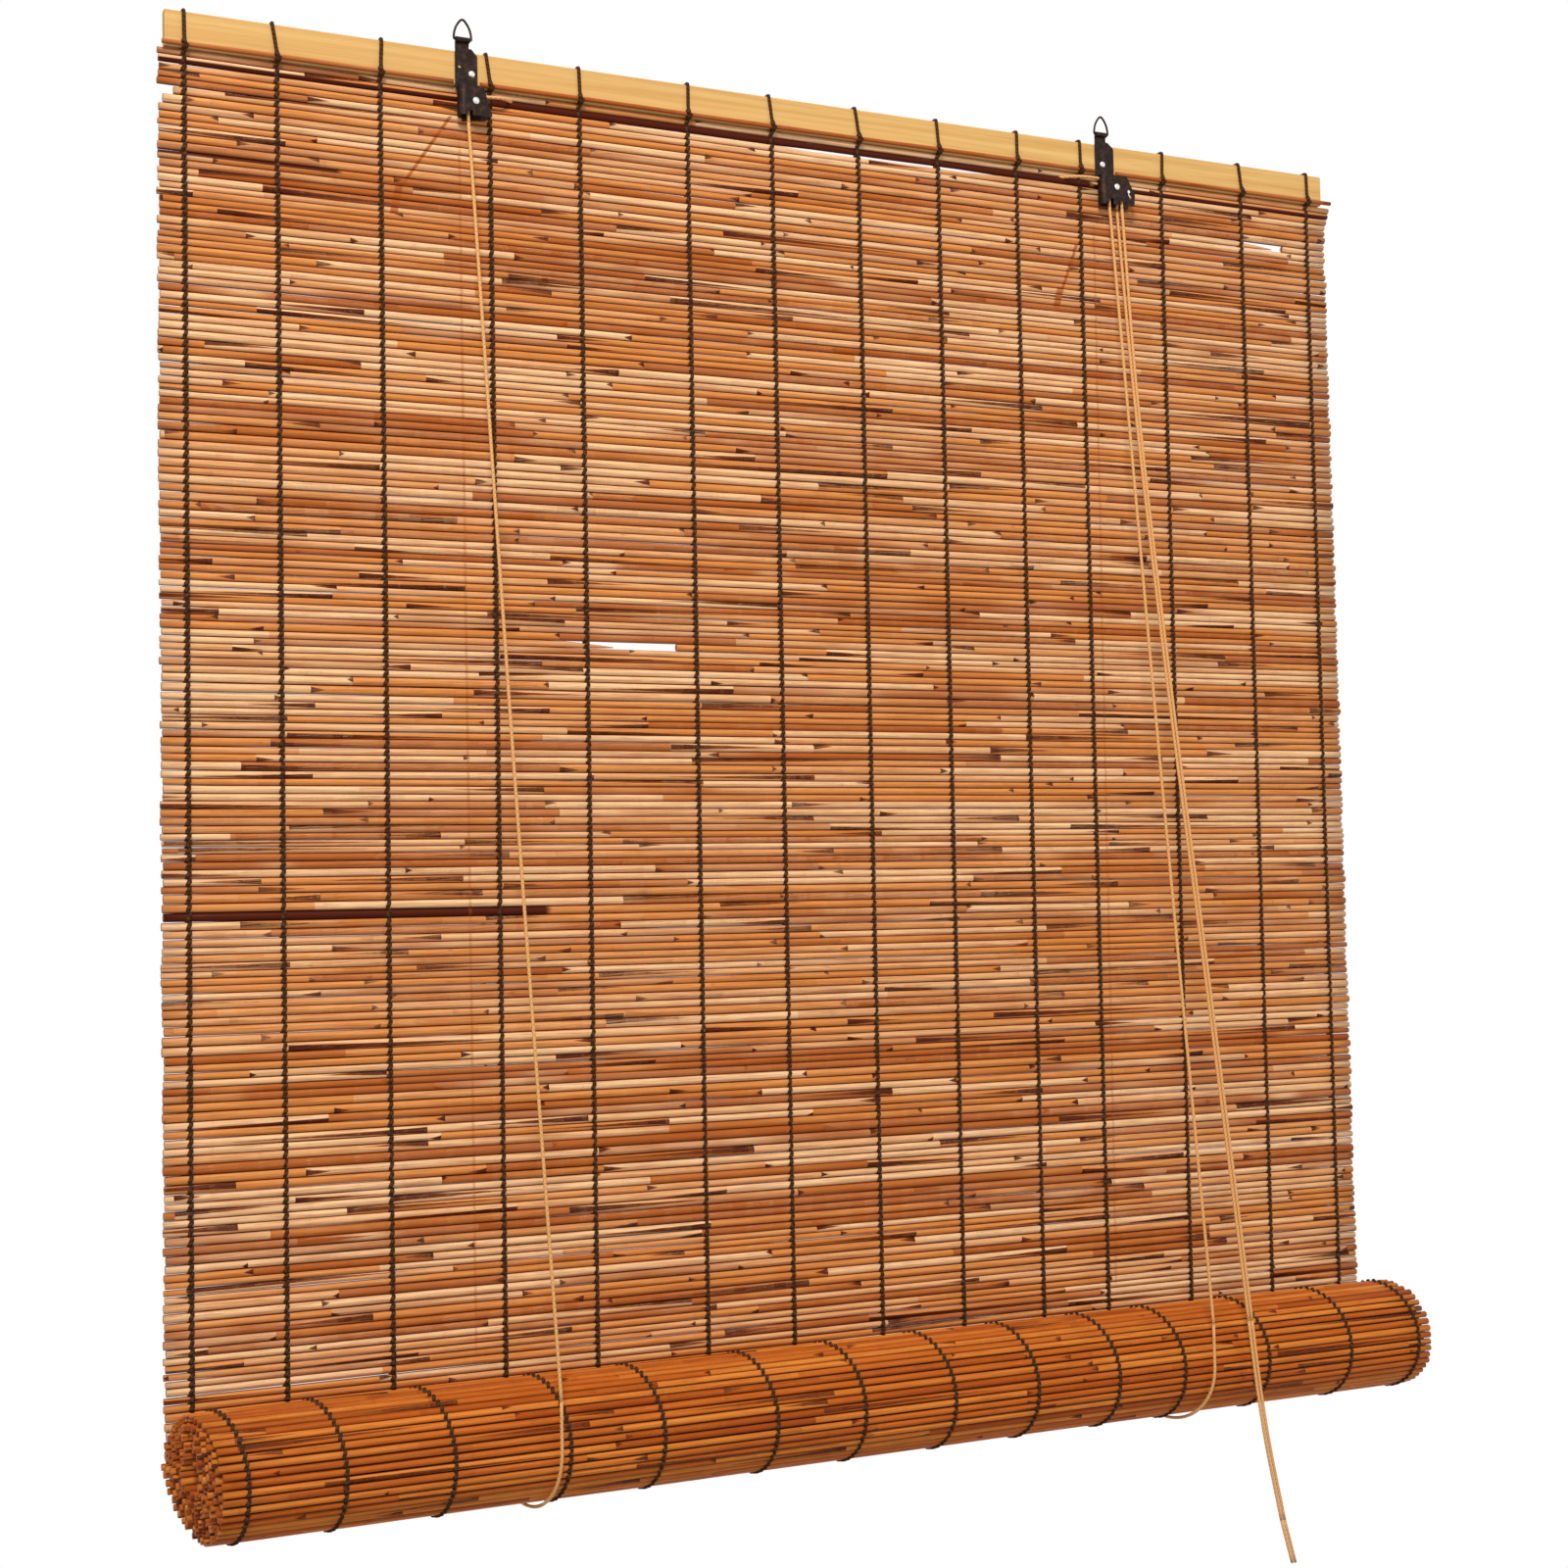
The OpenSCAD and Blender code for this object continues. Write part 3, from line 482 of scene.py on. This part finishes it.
rng = random.Random(41)
flat_runs = []
for row in range(REEDS):
    half = (LEVELS[row + 1] - LEVELS[row]) / 2
    run = reed_run(rng, row + 1, flat_place(row), 90, half - 0.08, half + 0.2, 0.13, 1.2,
                   ENDS.get(row, (0, 0)))
    if row in SLITS:
        run = slit(run, *SLITS[row])
    flat_runs.append(split(run, *SPLITS[row]) if row in SPLITS else [run])
mat_top = tubes("mat_reeds_top", sum(flat_runs[:TOP_REEDS], edge_reeds(rng)), rim=REED_RIM)
mat_low = tubes("mat_reeds", sum(flat_runs[TOP_REEDS:FOOT_REED], []), rim=REED_RIM)
mat_foot = tubes("mat_reeds_foot", sum(flat_runs[FOOT_REED:], []), rim=REED_RIM)

roll_runs = []
for turn in range(TURNS):
    count = int(2 * math.pi * (ROLL_R - turn * TURN) / PITCH)
    if turn == TURNS - 1:
        last = count - 3        # room for the roll's empty middle
    else:
        last = count
    for i in range(last):
        a = 360 * (turn + (i + 0.5) / count)
        roll_runs.append(reed_run(rng, FIRST_ROLL_REED + len(roll_runs), roll_place(a, roll_radius(a)),
                                  270 - a, 2.2, 2.55, 0.25, 2.2, (0, -5)))
roll_reeds = tubes("roll_reeds", roll_runs, rim=REED_RIM)

# ---------------------------------------------------------------- twine
ROLL_REEDS, TWINE_TURN_END = 46, 40  # reeds in the roll's outer turn, and where its twine ends


def chain(col, rows, place, radius, step=3):
    """The two strands of a twine, one over and one under each reed, crossing between reeds."""
    runs = []
    for strand in (-1, 1):
        points = []
        for j in range(rows[0] * step, rows[1] * step + 1):
            t = j / step
            swing = math.sin(math.pi * t) * strand
            side = -math.cos(math.pi * t) * strand
            out = (REED_R + 0.4) * (abs(swing) ** 0.4) * (1 if swing > 0 else -1)
            points.append(place(COLUMNS[col] + TWINE_SWING * side, out, t))
        runs.append((points, [radius] * len(points), col, 0))
    return runs


def flat_twine(x, out, t):
    """Down both faces of the mat, but not between it and the roll."""
    if t > FOOT_REED:
        out = max(out, TWINE_R - REED_R)
    return (x, MID_Y + out, MAT_Z - level(t))


def outer_twine(x, out, t):
    """Round the roll's outer turn."""
    a = 360 * t / ROLL_REEDS
    b, r = math.radians(a), roll_radius(a)
    return (x + roll_slip(a, r, x), ROLL_Y + (r + out) * math.cos(b), ROLL_Z - (r + out) * math.sin(b))


def over_batten(col):
    """One strand over the batten, from under its front edge to under its back edge."""
    lean = rng.uniform(-3.0, 0.8)
    a = BATTEN_T / 2 + 0.7      # out from the batten's middle to a strand on its face
    line = [(0, -1.4, -46.5), (0.3, -3.4, -44.4), (0.2, -a - 2.6, -42.0), (0, -a - 2.4, -40.0),
            (lean * 0.15, -a - 0.6, -37.4), (lean * 0.25, -a, -35), (lean * 0.6, -a, -28),
            (lean, -a, -21.2), (lean, -a + 0.5, -19.5), (lean, -a + 1.5, BATTEN_TOP),
            (lean, 0, BATTEN_TOP), (lean, a - 1.5, BATTEN_TOP), (lean, a - 0.5, -19.5),
            (lean, a, -21.2), (lean * 0.5, a, -31), (0, a, -41), (0, 2.9, -44.6), (0, 1.4, -46.5)]
    return [(COLUMNS[col] + x, MID_Y + y, z) for x, y, z in line], [STRAND_R] * len(line), col, 0


def edge_knot(col, n=22):
    """Two turns of twine round the thin reed on the batten's edge."""
    points = []
    for i in range(n + 1):
        b = 2 * math.pi * 2 * i / n
        points.append((COLUMNS[col] + 2.9 * (i / n - 0.5), EDGE_Y - 2.35 * math.cos(b),
                       EDGE_Z - 0.3 + 2.35 * math.sin(b)))
    return points, [KNOT_STRAND_R] * len(points), col, 0


top_runs, low_runs, foot_runs, roll_twine_runs = [], [], [], []
for col in range(TWINES):
    top_runs += chain(col, (0, TOP_REEDS), flat_twine, TWINE_R)
    top_runs += [over_batten(col), edge_knot(col)]
    low_runs += chain(col, (TOP_REEDS, FOOT_REED), flat_twine, TWINE_R)
    foot_runs += chain(col, (FOOT_REED, REEDS), flat_twine, TWINE_R)
    roll_twine_runs += chain(col, (0, TWINE_TURN_END), outer_twine, ROLL_TWINE_R)
twine_top = tubes("mat_twines_top", top_runs, 6)
twine_low = tubes("mat_twines", low_runs, 6)
twine_foot = tubes("mat_twines_foot", foot_runs, 6)
roll_twine = tubes("roll_twines", roll_twine_runs, 6)

for piece in (mat_top, mat_low, mat_foot):
    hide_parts("reed_mat")
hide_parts("mat_roll")
for piece in (twine_top, twine_low, twine_foot):
    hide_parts(*["warp_twine_%02d" % (i + 1) for i in range(TWINES)])
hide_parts(*["roll_twine_%02d" % (i + 1) for i in range(TWINES)])

# ---------------------------------------------------------------- materials
# Reeds dark for a stretch, the one 7 mm down under the batten as painted shadow of the gap there: how
# deep, from x to x in metres, and on which side of the reed
BOTH_SIDES, UPPER_SIDE, LOWER_SIDE = None, (-0.2, 0.2), (0.2, -0.2)
DARK_ROWS_AND_SHADOW = ((7, -0.46, -0.236, LOWER_SIDE), (7, -0.236, 0.24, BOTH_SIDES),
           (7, 0.24, 0.47, LOWER_SIDE), (67, -0.46, -0.335, UPPER_SIDE),
           (546, -0.46, -0.2, BOTH_SIDES))
# Painted shade on the reeds in front of the cords behind the mat: from x, z to x, z and half width in
# metres, and strength
CORD_SHADE_PAINTED = ((-0.2575, -0.0635, -0.2937, -0.1180, 0.0016, 0.8),
         (-0.2930, -0.1140, -0.2970, -0.1340, 0.0032, 0.8),
         (0.2280, -0.0980, 0.2150, -0.1330, 0.0016, 0.8),
         (0.2135, -0.1320, 0.2085, -0.1490, 0.0036, 0.8),
         (-0.2520, -0.0750, -0.2505, -0.8800, 0.0012, 0.35),
         (0.2440, -0.0750, 0.2390, -0.8800, 0.0012, 0.35))


class Value:
    """A node socket with arithmetic, also with a number on the left, as in 1 - mask."""

    def __init__(self, kit, socket):
        self.kit, self.socket = kit, socket

    def math(self, how, *others):
        return self.kit.node("ShaderNodeMath", [self, *others], operation=how)

    def __add__(self, other):
        return self.math("ADD", other)

    def __sub__(self, other):
        return self.math("SUBTRACT", other)

    def __rsub__(self, other):
        return self.kit.node("ShaderNodeMath", [other, self], operation="SUBTRACT")

    def __mul__(self, other):
        return self.math("MULTIPLY", other)

    def __truediv__(self, other):
        return self.math("DIVIDE", other)

    def __rtruediv__(self, other):
        return self.kit.node("ShaderNodeMath", [other, self], operation="DIVIDE")

    __radd__, __rmul__ = __add__, __mul__


class Kit:
    """Builds one material's nodes."""

    def __init__(self, name):
        self.mat = bpy.data.materials.new(name)
        self.mat.use_nodes = True
        self.tree = self.mat.node_tree
        self.tree.nodes.clear()
        self.out = self.tree.nodes.new("ShaderNodeOutputMaterial")
        self.main = self.tree.nodes.new("ShaderNodeBsdfPrincipled")
        self.tree.links.new(self.main.outputs["BSDF"], self.out.inputs["Surface"])

    def put(self, socket, value):
        if isinstance(value, Value):
            self.tree.links.new(value.socket, socket)
        elif value is not None:
            socket.default_value = value

    def node(self, kind, inputs=(), output=0, named=None, **settings):
        n = self.tree.nodes.new(kind)
        for key, value in settings.items():
            setattr(n, key, value)
        for i, value in enumerate(inputs):
            self.put(n.inputs[i], value)
        for key, value in (named or {}).items():
            self.put(n.inputs[key], value)
        return Value(self, n.outputs[output])

    def place(self):
        return self.node("ShaderNodeTexCoord", output="Object")

    def parts(self):
        n = self.tree.nodes.new("ShaderNodeSeparateXYZ")
        self.put(n.inputs[0], self.place())
        return [Value(self, n.outputs[i]) for i in range(3)]

    def attribute(self, name):
        return self.node("ShaderNodeAttribute", output="Fac", attribute_name=name)

    def noise(self, vector, scale, detail=2.0, rough=0.5, distortion=0.0):
        return self.node("ShaderNodeTexNoise", named={"Vector": vector, "Scale": scale, "Detail": detail,
                                                      "Roughness": rough, "Distortion": distortion})

    def vector(self, x, y, z):
        return self.node("ShaderNodeCombineXYZ", [x, y, z])

    def scatter(self, x, y, z):
        """A random number for each x, y and z."""
        return self.node("ShaderNodeTexWhiteNoise", [self.vector(x, y, z)], noise_dimensions="3D")

    def ramp(self, value, low, high):
        """0 at low and 1 at high, smoothly."""
        return self.node("ShaderNodeMapRange", [value, low, high, 0.0, 1.0],
                         interpolation_type="SMOOTHSTEP", clamp=True)

    def mix(self, share, a, b):
        n = self.tree.nodes.new("ShaderNodeMix")
        n.data_type = "RGBA"
        n.clamp_factor = True
        self.put(n.inputs[0], share)
        self.put(n.inputs[6], a if isinstance(a, Value) else (*a, 1))
        self.put(n.inputs[7], b if isinstance(b, Value) else (*b, 1))
        return Value(self, n.outputs[2])

    def bump(self, height, strength, distance):
        return self.node("ShaderNodeBump", named={"Strength": strength, "Distance": distance,
                                                  "Height": height})

    def finish(self, color, rough, metal=0.0, normal=None, coat=None, specular=None):
        self.put(self.main.inputs["Base Color"], color)
        self.put(self.main.inputs["Roughness"], rough)
        self.put(self.main.inputs["Metallic"], metal)
        self.put(self.main.inputs["Normal"], normal)
        self.put(self.main.inputs["Coat Weight"], coat)
        self.put(self.main.inputs["Specular IOR Level"], specular)
        return self.mat


def reed_material(name, pale, body, deep, dark, amount, cord_shade=()):
    """Four colours of reed, the share of joints that keep a dark strip of sheath, and lines of painted
    shade where cords run behind the mat."""
    k = Kit(name)
    x, y, z = k.parts()
    own, out, side = k.attribute("own"), k.attribute("out"), k.attribute("side")
    start = own * 7.31
    # Each reed grew to the right or to the left
    facing = k.ramp(k.scatter(own, 31.0, 4.0), 0.499, 0.501) * 2.0 - 1.0
    grown = x * facing
    # One length between joints after another along the reed, each of its own colour
    wander = k.noise(k.vector(grown * 4.0, start, 2.0), 1.0, 0.0)
    long = grown * 6.0 + wander * 1.4 + k.scatter(own, 3.0, 0.0) * 40.0
    cell = long.math("FLOOR")
    part = long - cell
    draw = [k.scatter(cell, own, 4.0 * i) for i in range(6)]
    fibre = k.noise(k.vector(x * 26.0, side * 3.0 + start, out * 3.0), 1.0, 3.0, 0.6)
    fine = k.noise(k.vector(x * 80.0, side * 11.0 + start, out * 11.0), 1.0, 2.0, 0.6)
    drift = k.noise(k.vector(x * 9.0, start, 1.0), 1.0, 2.0)
    color = k.mix(k.ramp(draw[0] + drift * 0.3, 0.3, 0.95), pale, body)
    color = k.mix(k.ramp(draw[1] + drift * 0.6, 0.92, 1.3) * 0.9, color, deep)
    color = k.mix(k.ramp(fibre, 0.42, 0.68) * 0.5, color, deep)
    color = k.mix(k.ramp(fine, 0.5, 0.8) * 0.25, color, dark)
    # Painted shade in the grooves between reeds, where they meet, much deeper in some grooves than in
    # others
    groove = k.ramp(out.math("ABSOLUTE") + fibre * 0.25, 0.78, 0.25)
    color = k.mix(groove * 0.92, color, k.mix(k.ramp(draw[2], 0.3, 0.85), deep, dark))
    # A dark strip of sheath: blunt where it starts at a joint, and running out to a point
    middle = k.scatter(cell, own, 37.0) * 1.3 - 0.65
    off = (side - middle).math("ABSOLUTE")
    reach = draw[3].math("POWER", 1.6) * 0.75 + 0.05
    strip = part / reach + off * 1.5 + fine * 0.5
    chosen = k.ramp(draw[4], 1.0 - amount, 1.004 - amount)
    stain = k.mix(k.ramp(part / reach, 0.1, 0.9), dark, k.mix(0.5, dark, deep))
    color = k.mix(k.ramp(strip, 1.32, 1.16) * chosen, color, stain)
    # The joint itself, a short dark mark
    spot = part * 30.0 + off * 1.4 + fine * 0.4
    color = k.mix(k.ramp(spot, 1.35, 1.0) * k.ramp(draw[5], 0.25, 0.26), color, dark)
    # A few reeds are browned for a long way
    whole = k.ramp(k.scatter(own, 21.0, 2.0), 0.955, 0.96) * k.ramp(drift, 0.3, 0.45) * 0.85
    color = k.mix(whole, color, deep)
    # Reeds darkened for a stretch; just under the batten this is painted shadow
    for depth, low_x, high_x, half in DARK_ROWS_AND_SHADOW:
        here = own.math("COMPARE", row_at(depth) + 1.0, 0.4)
        here = here * k.ramp(x, low_x, low_x + 0.006) * k.ramp(x, high_x + 0.006, high_x)
        if half:
            here = here * k.ramp(side, *half)
        color = k.mix(here, color, dark)
    # Painted shade: the reeds darkened along the lines where cords lie behind the mat
    for top_x, top_z, low_x, low_z, wide, strength in cord_shade:
        down = (top_z - z) / (top_z - low_z)
        off_line = (x - down * (low_x - top_x) - top_x).math("ABSOLUTE")
        here = k.ramp(off_line, wide, wide * 0.6) * k.ramp(down, 0.0, 0.02) * k.ramp(down, 1.0, 0.98)
        color = k.mix(here * strength, color, deep)
    # The thin reed on the batten's edge is browned all along
    color = k.mix(own.math("GREATER_THAN", FIRST_EDGE_REED - 0.5) * 0.7, color, deep)
    height = fibre * 0.6 + fine * 0.4 + k.ramp(part, 0.04, 0.0) * 0.8
    return k.finish(color, fibre * 0.25 + 0.34, normal=k.bump(height, 0.5, 0.0004), specular=0.12)


def pith_material():
    """The reeds' cut ends."""
    k = Kit("reed_ends")
    grain = k.noise(k.place(), 900.0, 3.0, 0.6)
    color = k.mix(k.ramp(grain, 0.35, 0.75), (0.88, 0.46, 0.17), (0.48, 0.16, 0.035))
    return k.finish(color, grain * 0.2 + 0.6, normal=k.bump(grain, 0.4, 0.0003), specular=0.1)


def twine_material():
    k = Kit("twine_dark")
    twist = (k.attribute("along") * 2.1 + k.attribute("side") * 1.6).math("SINE") * 0.5 + 0.5
    fuzz = k.noise(k.place(), 2500.0, 2.0, 0.6)
    color = k.mix(twist * 0.7 + fuzz * 0.4, (0.022, 0.009, 0.004), (0.105, 0.045, 0.018))
    return k.finish(color, 0.85, normal=k.bump(twist + fuzz * 0.5, 0.6, 0.0003), specular=0.1)


def cord_material():
    """Two sets of strands, braided left and right round the cord."""
    k = Kit("cord_tan")
    along, out, side = k.attribute("along"), k.attribute("out"), k.attribute("side")
    one = (along * 1.9 + side * 2.4 + out * 0.8).math("SINE")
    two = (along * 1.9 - side * 2.4 - out * 0.8).math("SINE")
    braid = one.math("MAXIMUM", two) * 0.5 + 0.5
    fuzz = k.noise(k.place(), 1800.0, 2.0, 0.6)
    color = k.mix(braid * 0.75 + fuzz * 0.25, (0.52, 0.22, 0.060), (0.92, 0.50, 0.19))
    return k.finish(color, 0.7, normal=k.bump(braid + fuzz * 0.3, 0.6, 0.0004), specular=0.25)


def pine_material():
    k = Kit("batten_pine")
    x, y, z = k.parts()
    grain = k.noise(k.vector(x * 3.0, y * 60.0, z * 190.0), 1.0, 4.0, 0.6, 0.6)
    fine = k.noise(k.vector(x * 22.0, y * 500.0, z * 1500.0), 1.0, 2.0, 0.6)
    broad = k.noise(k.vector(x * 1.6, y * 8.0, z * 22.0), 1.0, 2.0, 0.5)
    color = k.mix(k.ramp(grain, 0.3, 0.7), (0.80, 0.50, 0.17), (0.66, 0.36, 0.10))
    color = k.mix(k.ramp(fine, 0.45, 0.8) * 0.4, color, (0.50, 0.25, 0.07))
    color = k.mix(k.ramp(broad, 0.45, 0.75) * 0.35, color, (0.60, 0.31, 0.09))
    return k.finish(color, fine * 0.2 + 0.5, normal=k.bump(grain * 0.6 + fine * 0.5, 0.35, 0.0004),
                    specular=0.35)


def bronze_material():
    k = Kit("sheet_bronzed")
    wear = k.noise(k.place(), 260.0, 4.0, 0.65)
    fine = k.noise(k.place(), 1600.0, 2.0, 0.6)
    color = k.mix(k.ramp(wear, 0.45, 0.72), (0.014, 0.007, 0.005), (0.060, 0.024, 0.013))
    return k.finish(color, wear * 0.3 + 0.32, 0.6, k.bump(fine + wear, 0.25, 0.0002), coat=0.06,
                    specular=0.3)


def steel_material(name, pale, deep, scale):
    k = Kit(name)
    turned = k.noise(k.place(), scale, 3.0, 0.6)
    return k.finish(k.mix(turned, pale, deep), turned * 0.25 + 0.2, 0.9, k.bump(turned, 0.15, 0.0002),
                    specular=0.5)


def dress(pieces, *surfaces):
    for piece in pieces:
        piece.data.materials.clear()
        for surface in surfaces:
            piece.data.materials.append(surface)


pith = pith_material()
dress((mat_top, mat_low, mat_foot),
      reed_material("reed_mat_look", (0.98, 0.62, 0.33), (0.74, 0.28, 0.070), (0.40, 0.090, 0.012),
                    (0.072, 0.008, 0.001), 0.5, CORD_SHADE_PAINTED), pith)
dress([roll_reeds],
      reed_material("reed_roll_look", (0.78, 0.26, 0.040), (0.56, 0.13, 0.013), (0.34, 0.060, 0.005),
                    (0.065, 0.006, 0.001), 0.4), pith)
dress((twine_top, twine_low, twine_foot, roll_twine), twine_material())
dress((cords_up, cords_rear, cords_under, cord_cross, cord_turn, cord_ties, *tails, *tail_knots,
       *pull_upper, *pull_lower, *pull_ends), cord_material())
LOOKS = {
    "batten_pine": pine_material(),
    "bronzed_sheet": bronze_material(),
    "pulley_steel": steel_material("pulley_steel_look", (0.42, 0.40, 0.37), (0.25, 0.24, 0.22), 700.0),
    "rivet_steel": steel_material("rivet_steel_look", (0.86, 0.83, 0.78), (0.62, 0.60, 0.56), 900.0),
}
for subpart in frame["record"]["subparts"]:
    if subpart["material_slot"] in LOOKS:
        for slot in frame["nodes"][subpart["node"]].material_slots:
            slot.material = LOOKS[subpart["material_slot"]]

# ---------------------------------------------------------------- motion
for piece in (mat_top, twine_top, cord_cross, cord_turn, cord_ties, *tails, *tail_knots):
    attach(piece, "head")
for piece in (roll_reeds, roll_twine):
    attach(piece, "roll")
for piece in (mat_foot, twine_foot, cords_under):
    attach(piece, "lift_loops")
for piece in pull_ends:
    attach(piece, "pull_ends")
for piece in pull_lower:
    tuple(c * MM for c in LOWER[0])
    tuple(c * MM for c in LOWER[-1])
    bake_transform(piece)


def shorten(piece, top, bottom, free=0.0):
    """The piece goes with the head and gets a mesh of its own. The share of it that would stay after the
    whole stroke, ending free mm above what it meets, is worked out but not used.
    """
    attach(piece, "head")
    keep = (top - bottom - STROKE - free) / (top - bottom)
    top * MM
    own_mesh(piece)


for piece in (mat_low, twine_low):
    shorten(piece, MAT_Z - LEVELS[TOP_REEDS], MAT_Z - LEVELS[FOOT_REED], FOOT_GAP)
shorten(cords_up, EXIT_Z, ROLL_Z + FRONT_RISE)
shorten(cords_rear, REAR_TOP, ROLL_Z)
for piece in pull_upper:
    shorten(piece, EXIT_Z, PULL[-1][2])

# ---------------------------------------------------------------- floor and light
FLOOR_R, FLOOR_Z = 1.3, -2.8    # metres
WARM = (1.0, 0.985, 0.96)
MIDDLE = (0, 0, -0.5)           # what the lamps are aimed at, in metres

floor_mesh = bpy.data.meshes.new("floor")
shape = bmesh.new()
bmesh.ops.create_circle(shape, cap_ends=True, segments=64, radius=FLOOR_R)
bmesh.ops.translate(shape, verts=shape.verts, vec=(0, 0, FLOOR_Z))
shape.to_mesh(floor_mesh)
shape.free()
floor = bpy.data.objects.new("floor", floor_mesh)
bpy.context.scene.collection.objects.link(floor)
k = Kit("floor_pale")
cloudy = k.mix(k.noise(k.place(), 6.0) * 0.2, (0.80, 0.79, 0.77), (0.74, 0.73, 0.71))
dress([floor], k.finish(cloudy, 0.7))


def lamp(name, place, size, power, color=(1, 1, 1)):
    data = bpy.data.lights.new(name, "AREA")
    data.shape = "DISK"
    data.size = size
    data.energy = power
    data.color = color
    lit = bpy.data.objects.new(name, data)
    bpy.context.scene.collection.objects.link(lit)
    lit.location = place
    lit.rotation_euler = (Vector(MIDDLE) - Vector(place)).to_track_quat("-Z", "Y").to_euler()


lamp("key", (-1.1, -2.1, 1.7), 0.8, 78, WARM)
lamp("fill", (1.9, -2.2, -0.1), 1.6, 9)
lamp("back", (0.3, 2.2, 0.6), 1.8, 14)

# The world is plain white where it is seen, and a dimmer light on the blind
world = bpy.data.worlds.new("studio")
bpy.context.scene.world = world
world.use_nodes = True
tree = world.node_tree
tree.nodes.clear()
out = tree.nodes.new("ShaderNodeOutputWorld")
soft = tree.nodes.new("ShaderNodeBackground")
seen = tree.nodes.new("ShaderNodeBackground")
pick = tree.nodes.new("ShaderNodeMixShader")
path = tree.nodes.new("ShaderNodeLightPath")
rays = [tree.nodes.new("ShaderNodeMath") for _ in range(2)]
soft.inputs["Color"].default_value = (*WARM, 1)
soft.inputs["Strength"].default_value = 0.42
seen.inputs["Color"].default_value = (1, 1, 1, 1)
seen.inputs["Strength"].default_value = 1.0
for ray in rays:
    ray.operation = "MAXIMUM"
tree.links.new(path.outputs["Is Camera Ray"], rays[0].inputs[0])
tree.links.new(path.outputs["Is Glossy Ray"], rays[0].inputs[1])
tree.links.new(rays[0].outputs[0], rays[1].inputs[0])
tree.links.new(path.outputs["Is Transmission Ray"], rays[1].inputs[1])
tree.links.new(rays[1].outputs[0], pick.inputs[0])
tree.links.new(soft.outputs[0], pick.inputs[1])
tree.links.new(seen.outputs[0], pick.inputs[2])
tree.links.new(pick.outputs[0], out.inputs["Surface"])
bpy.context.scene.view_settings.view_transform = "Standard"
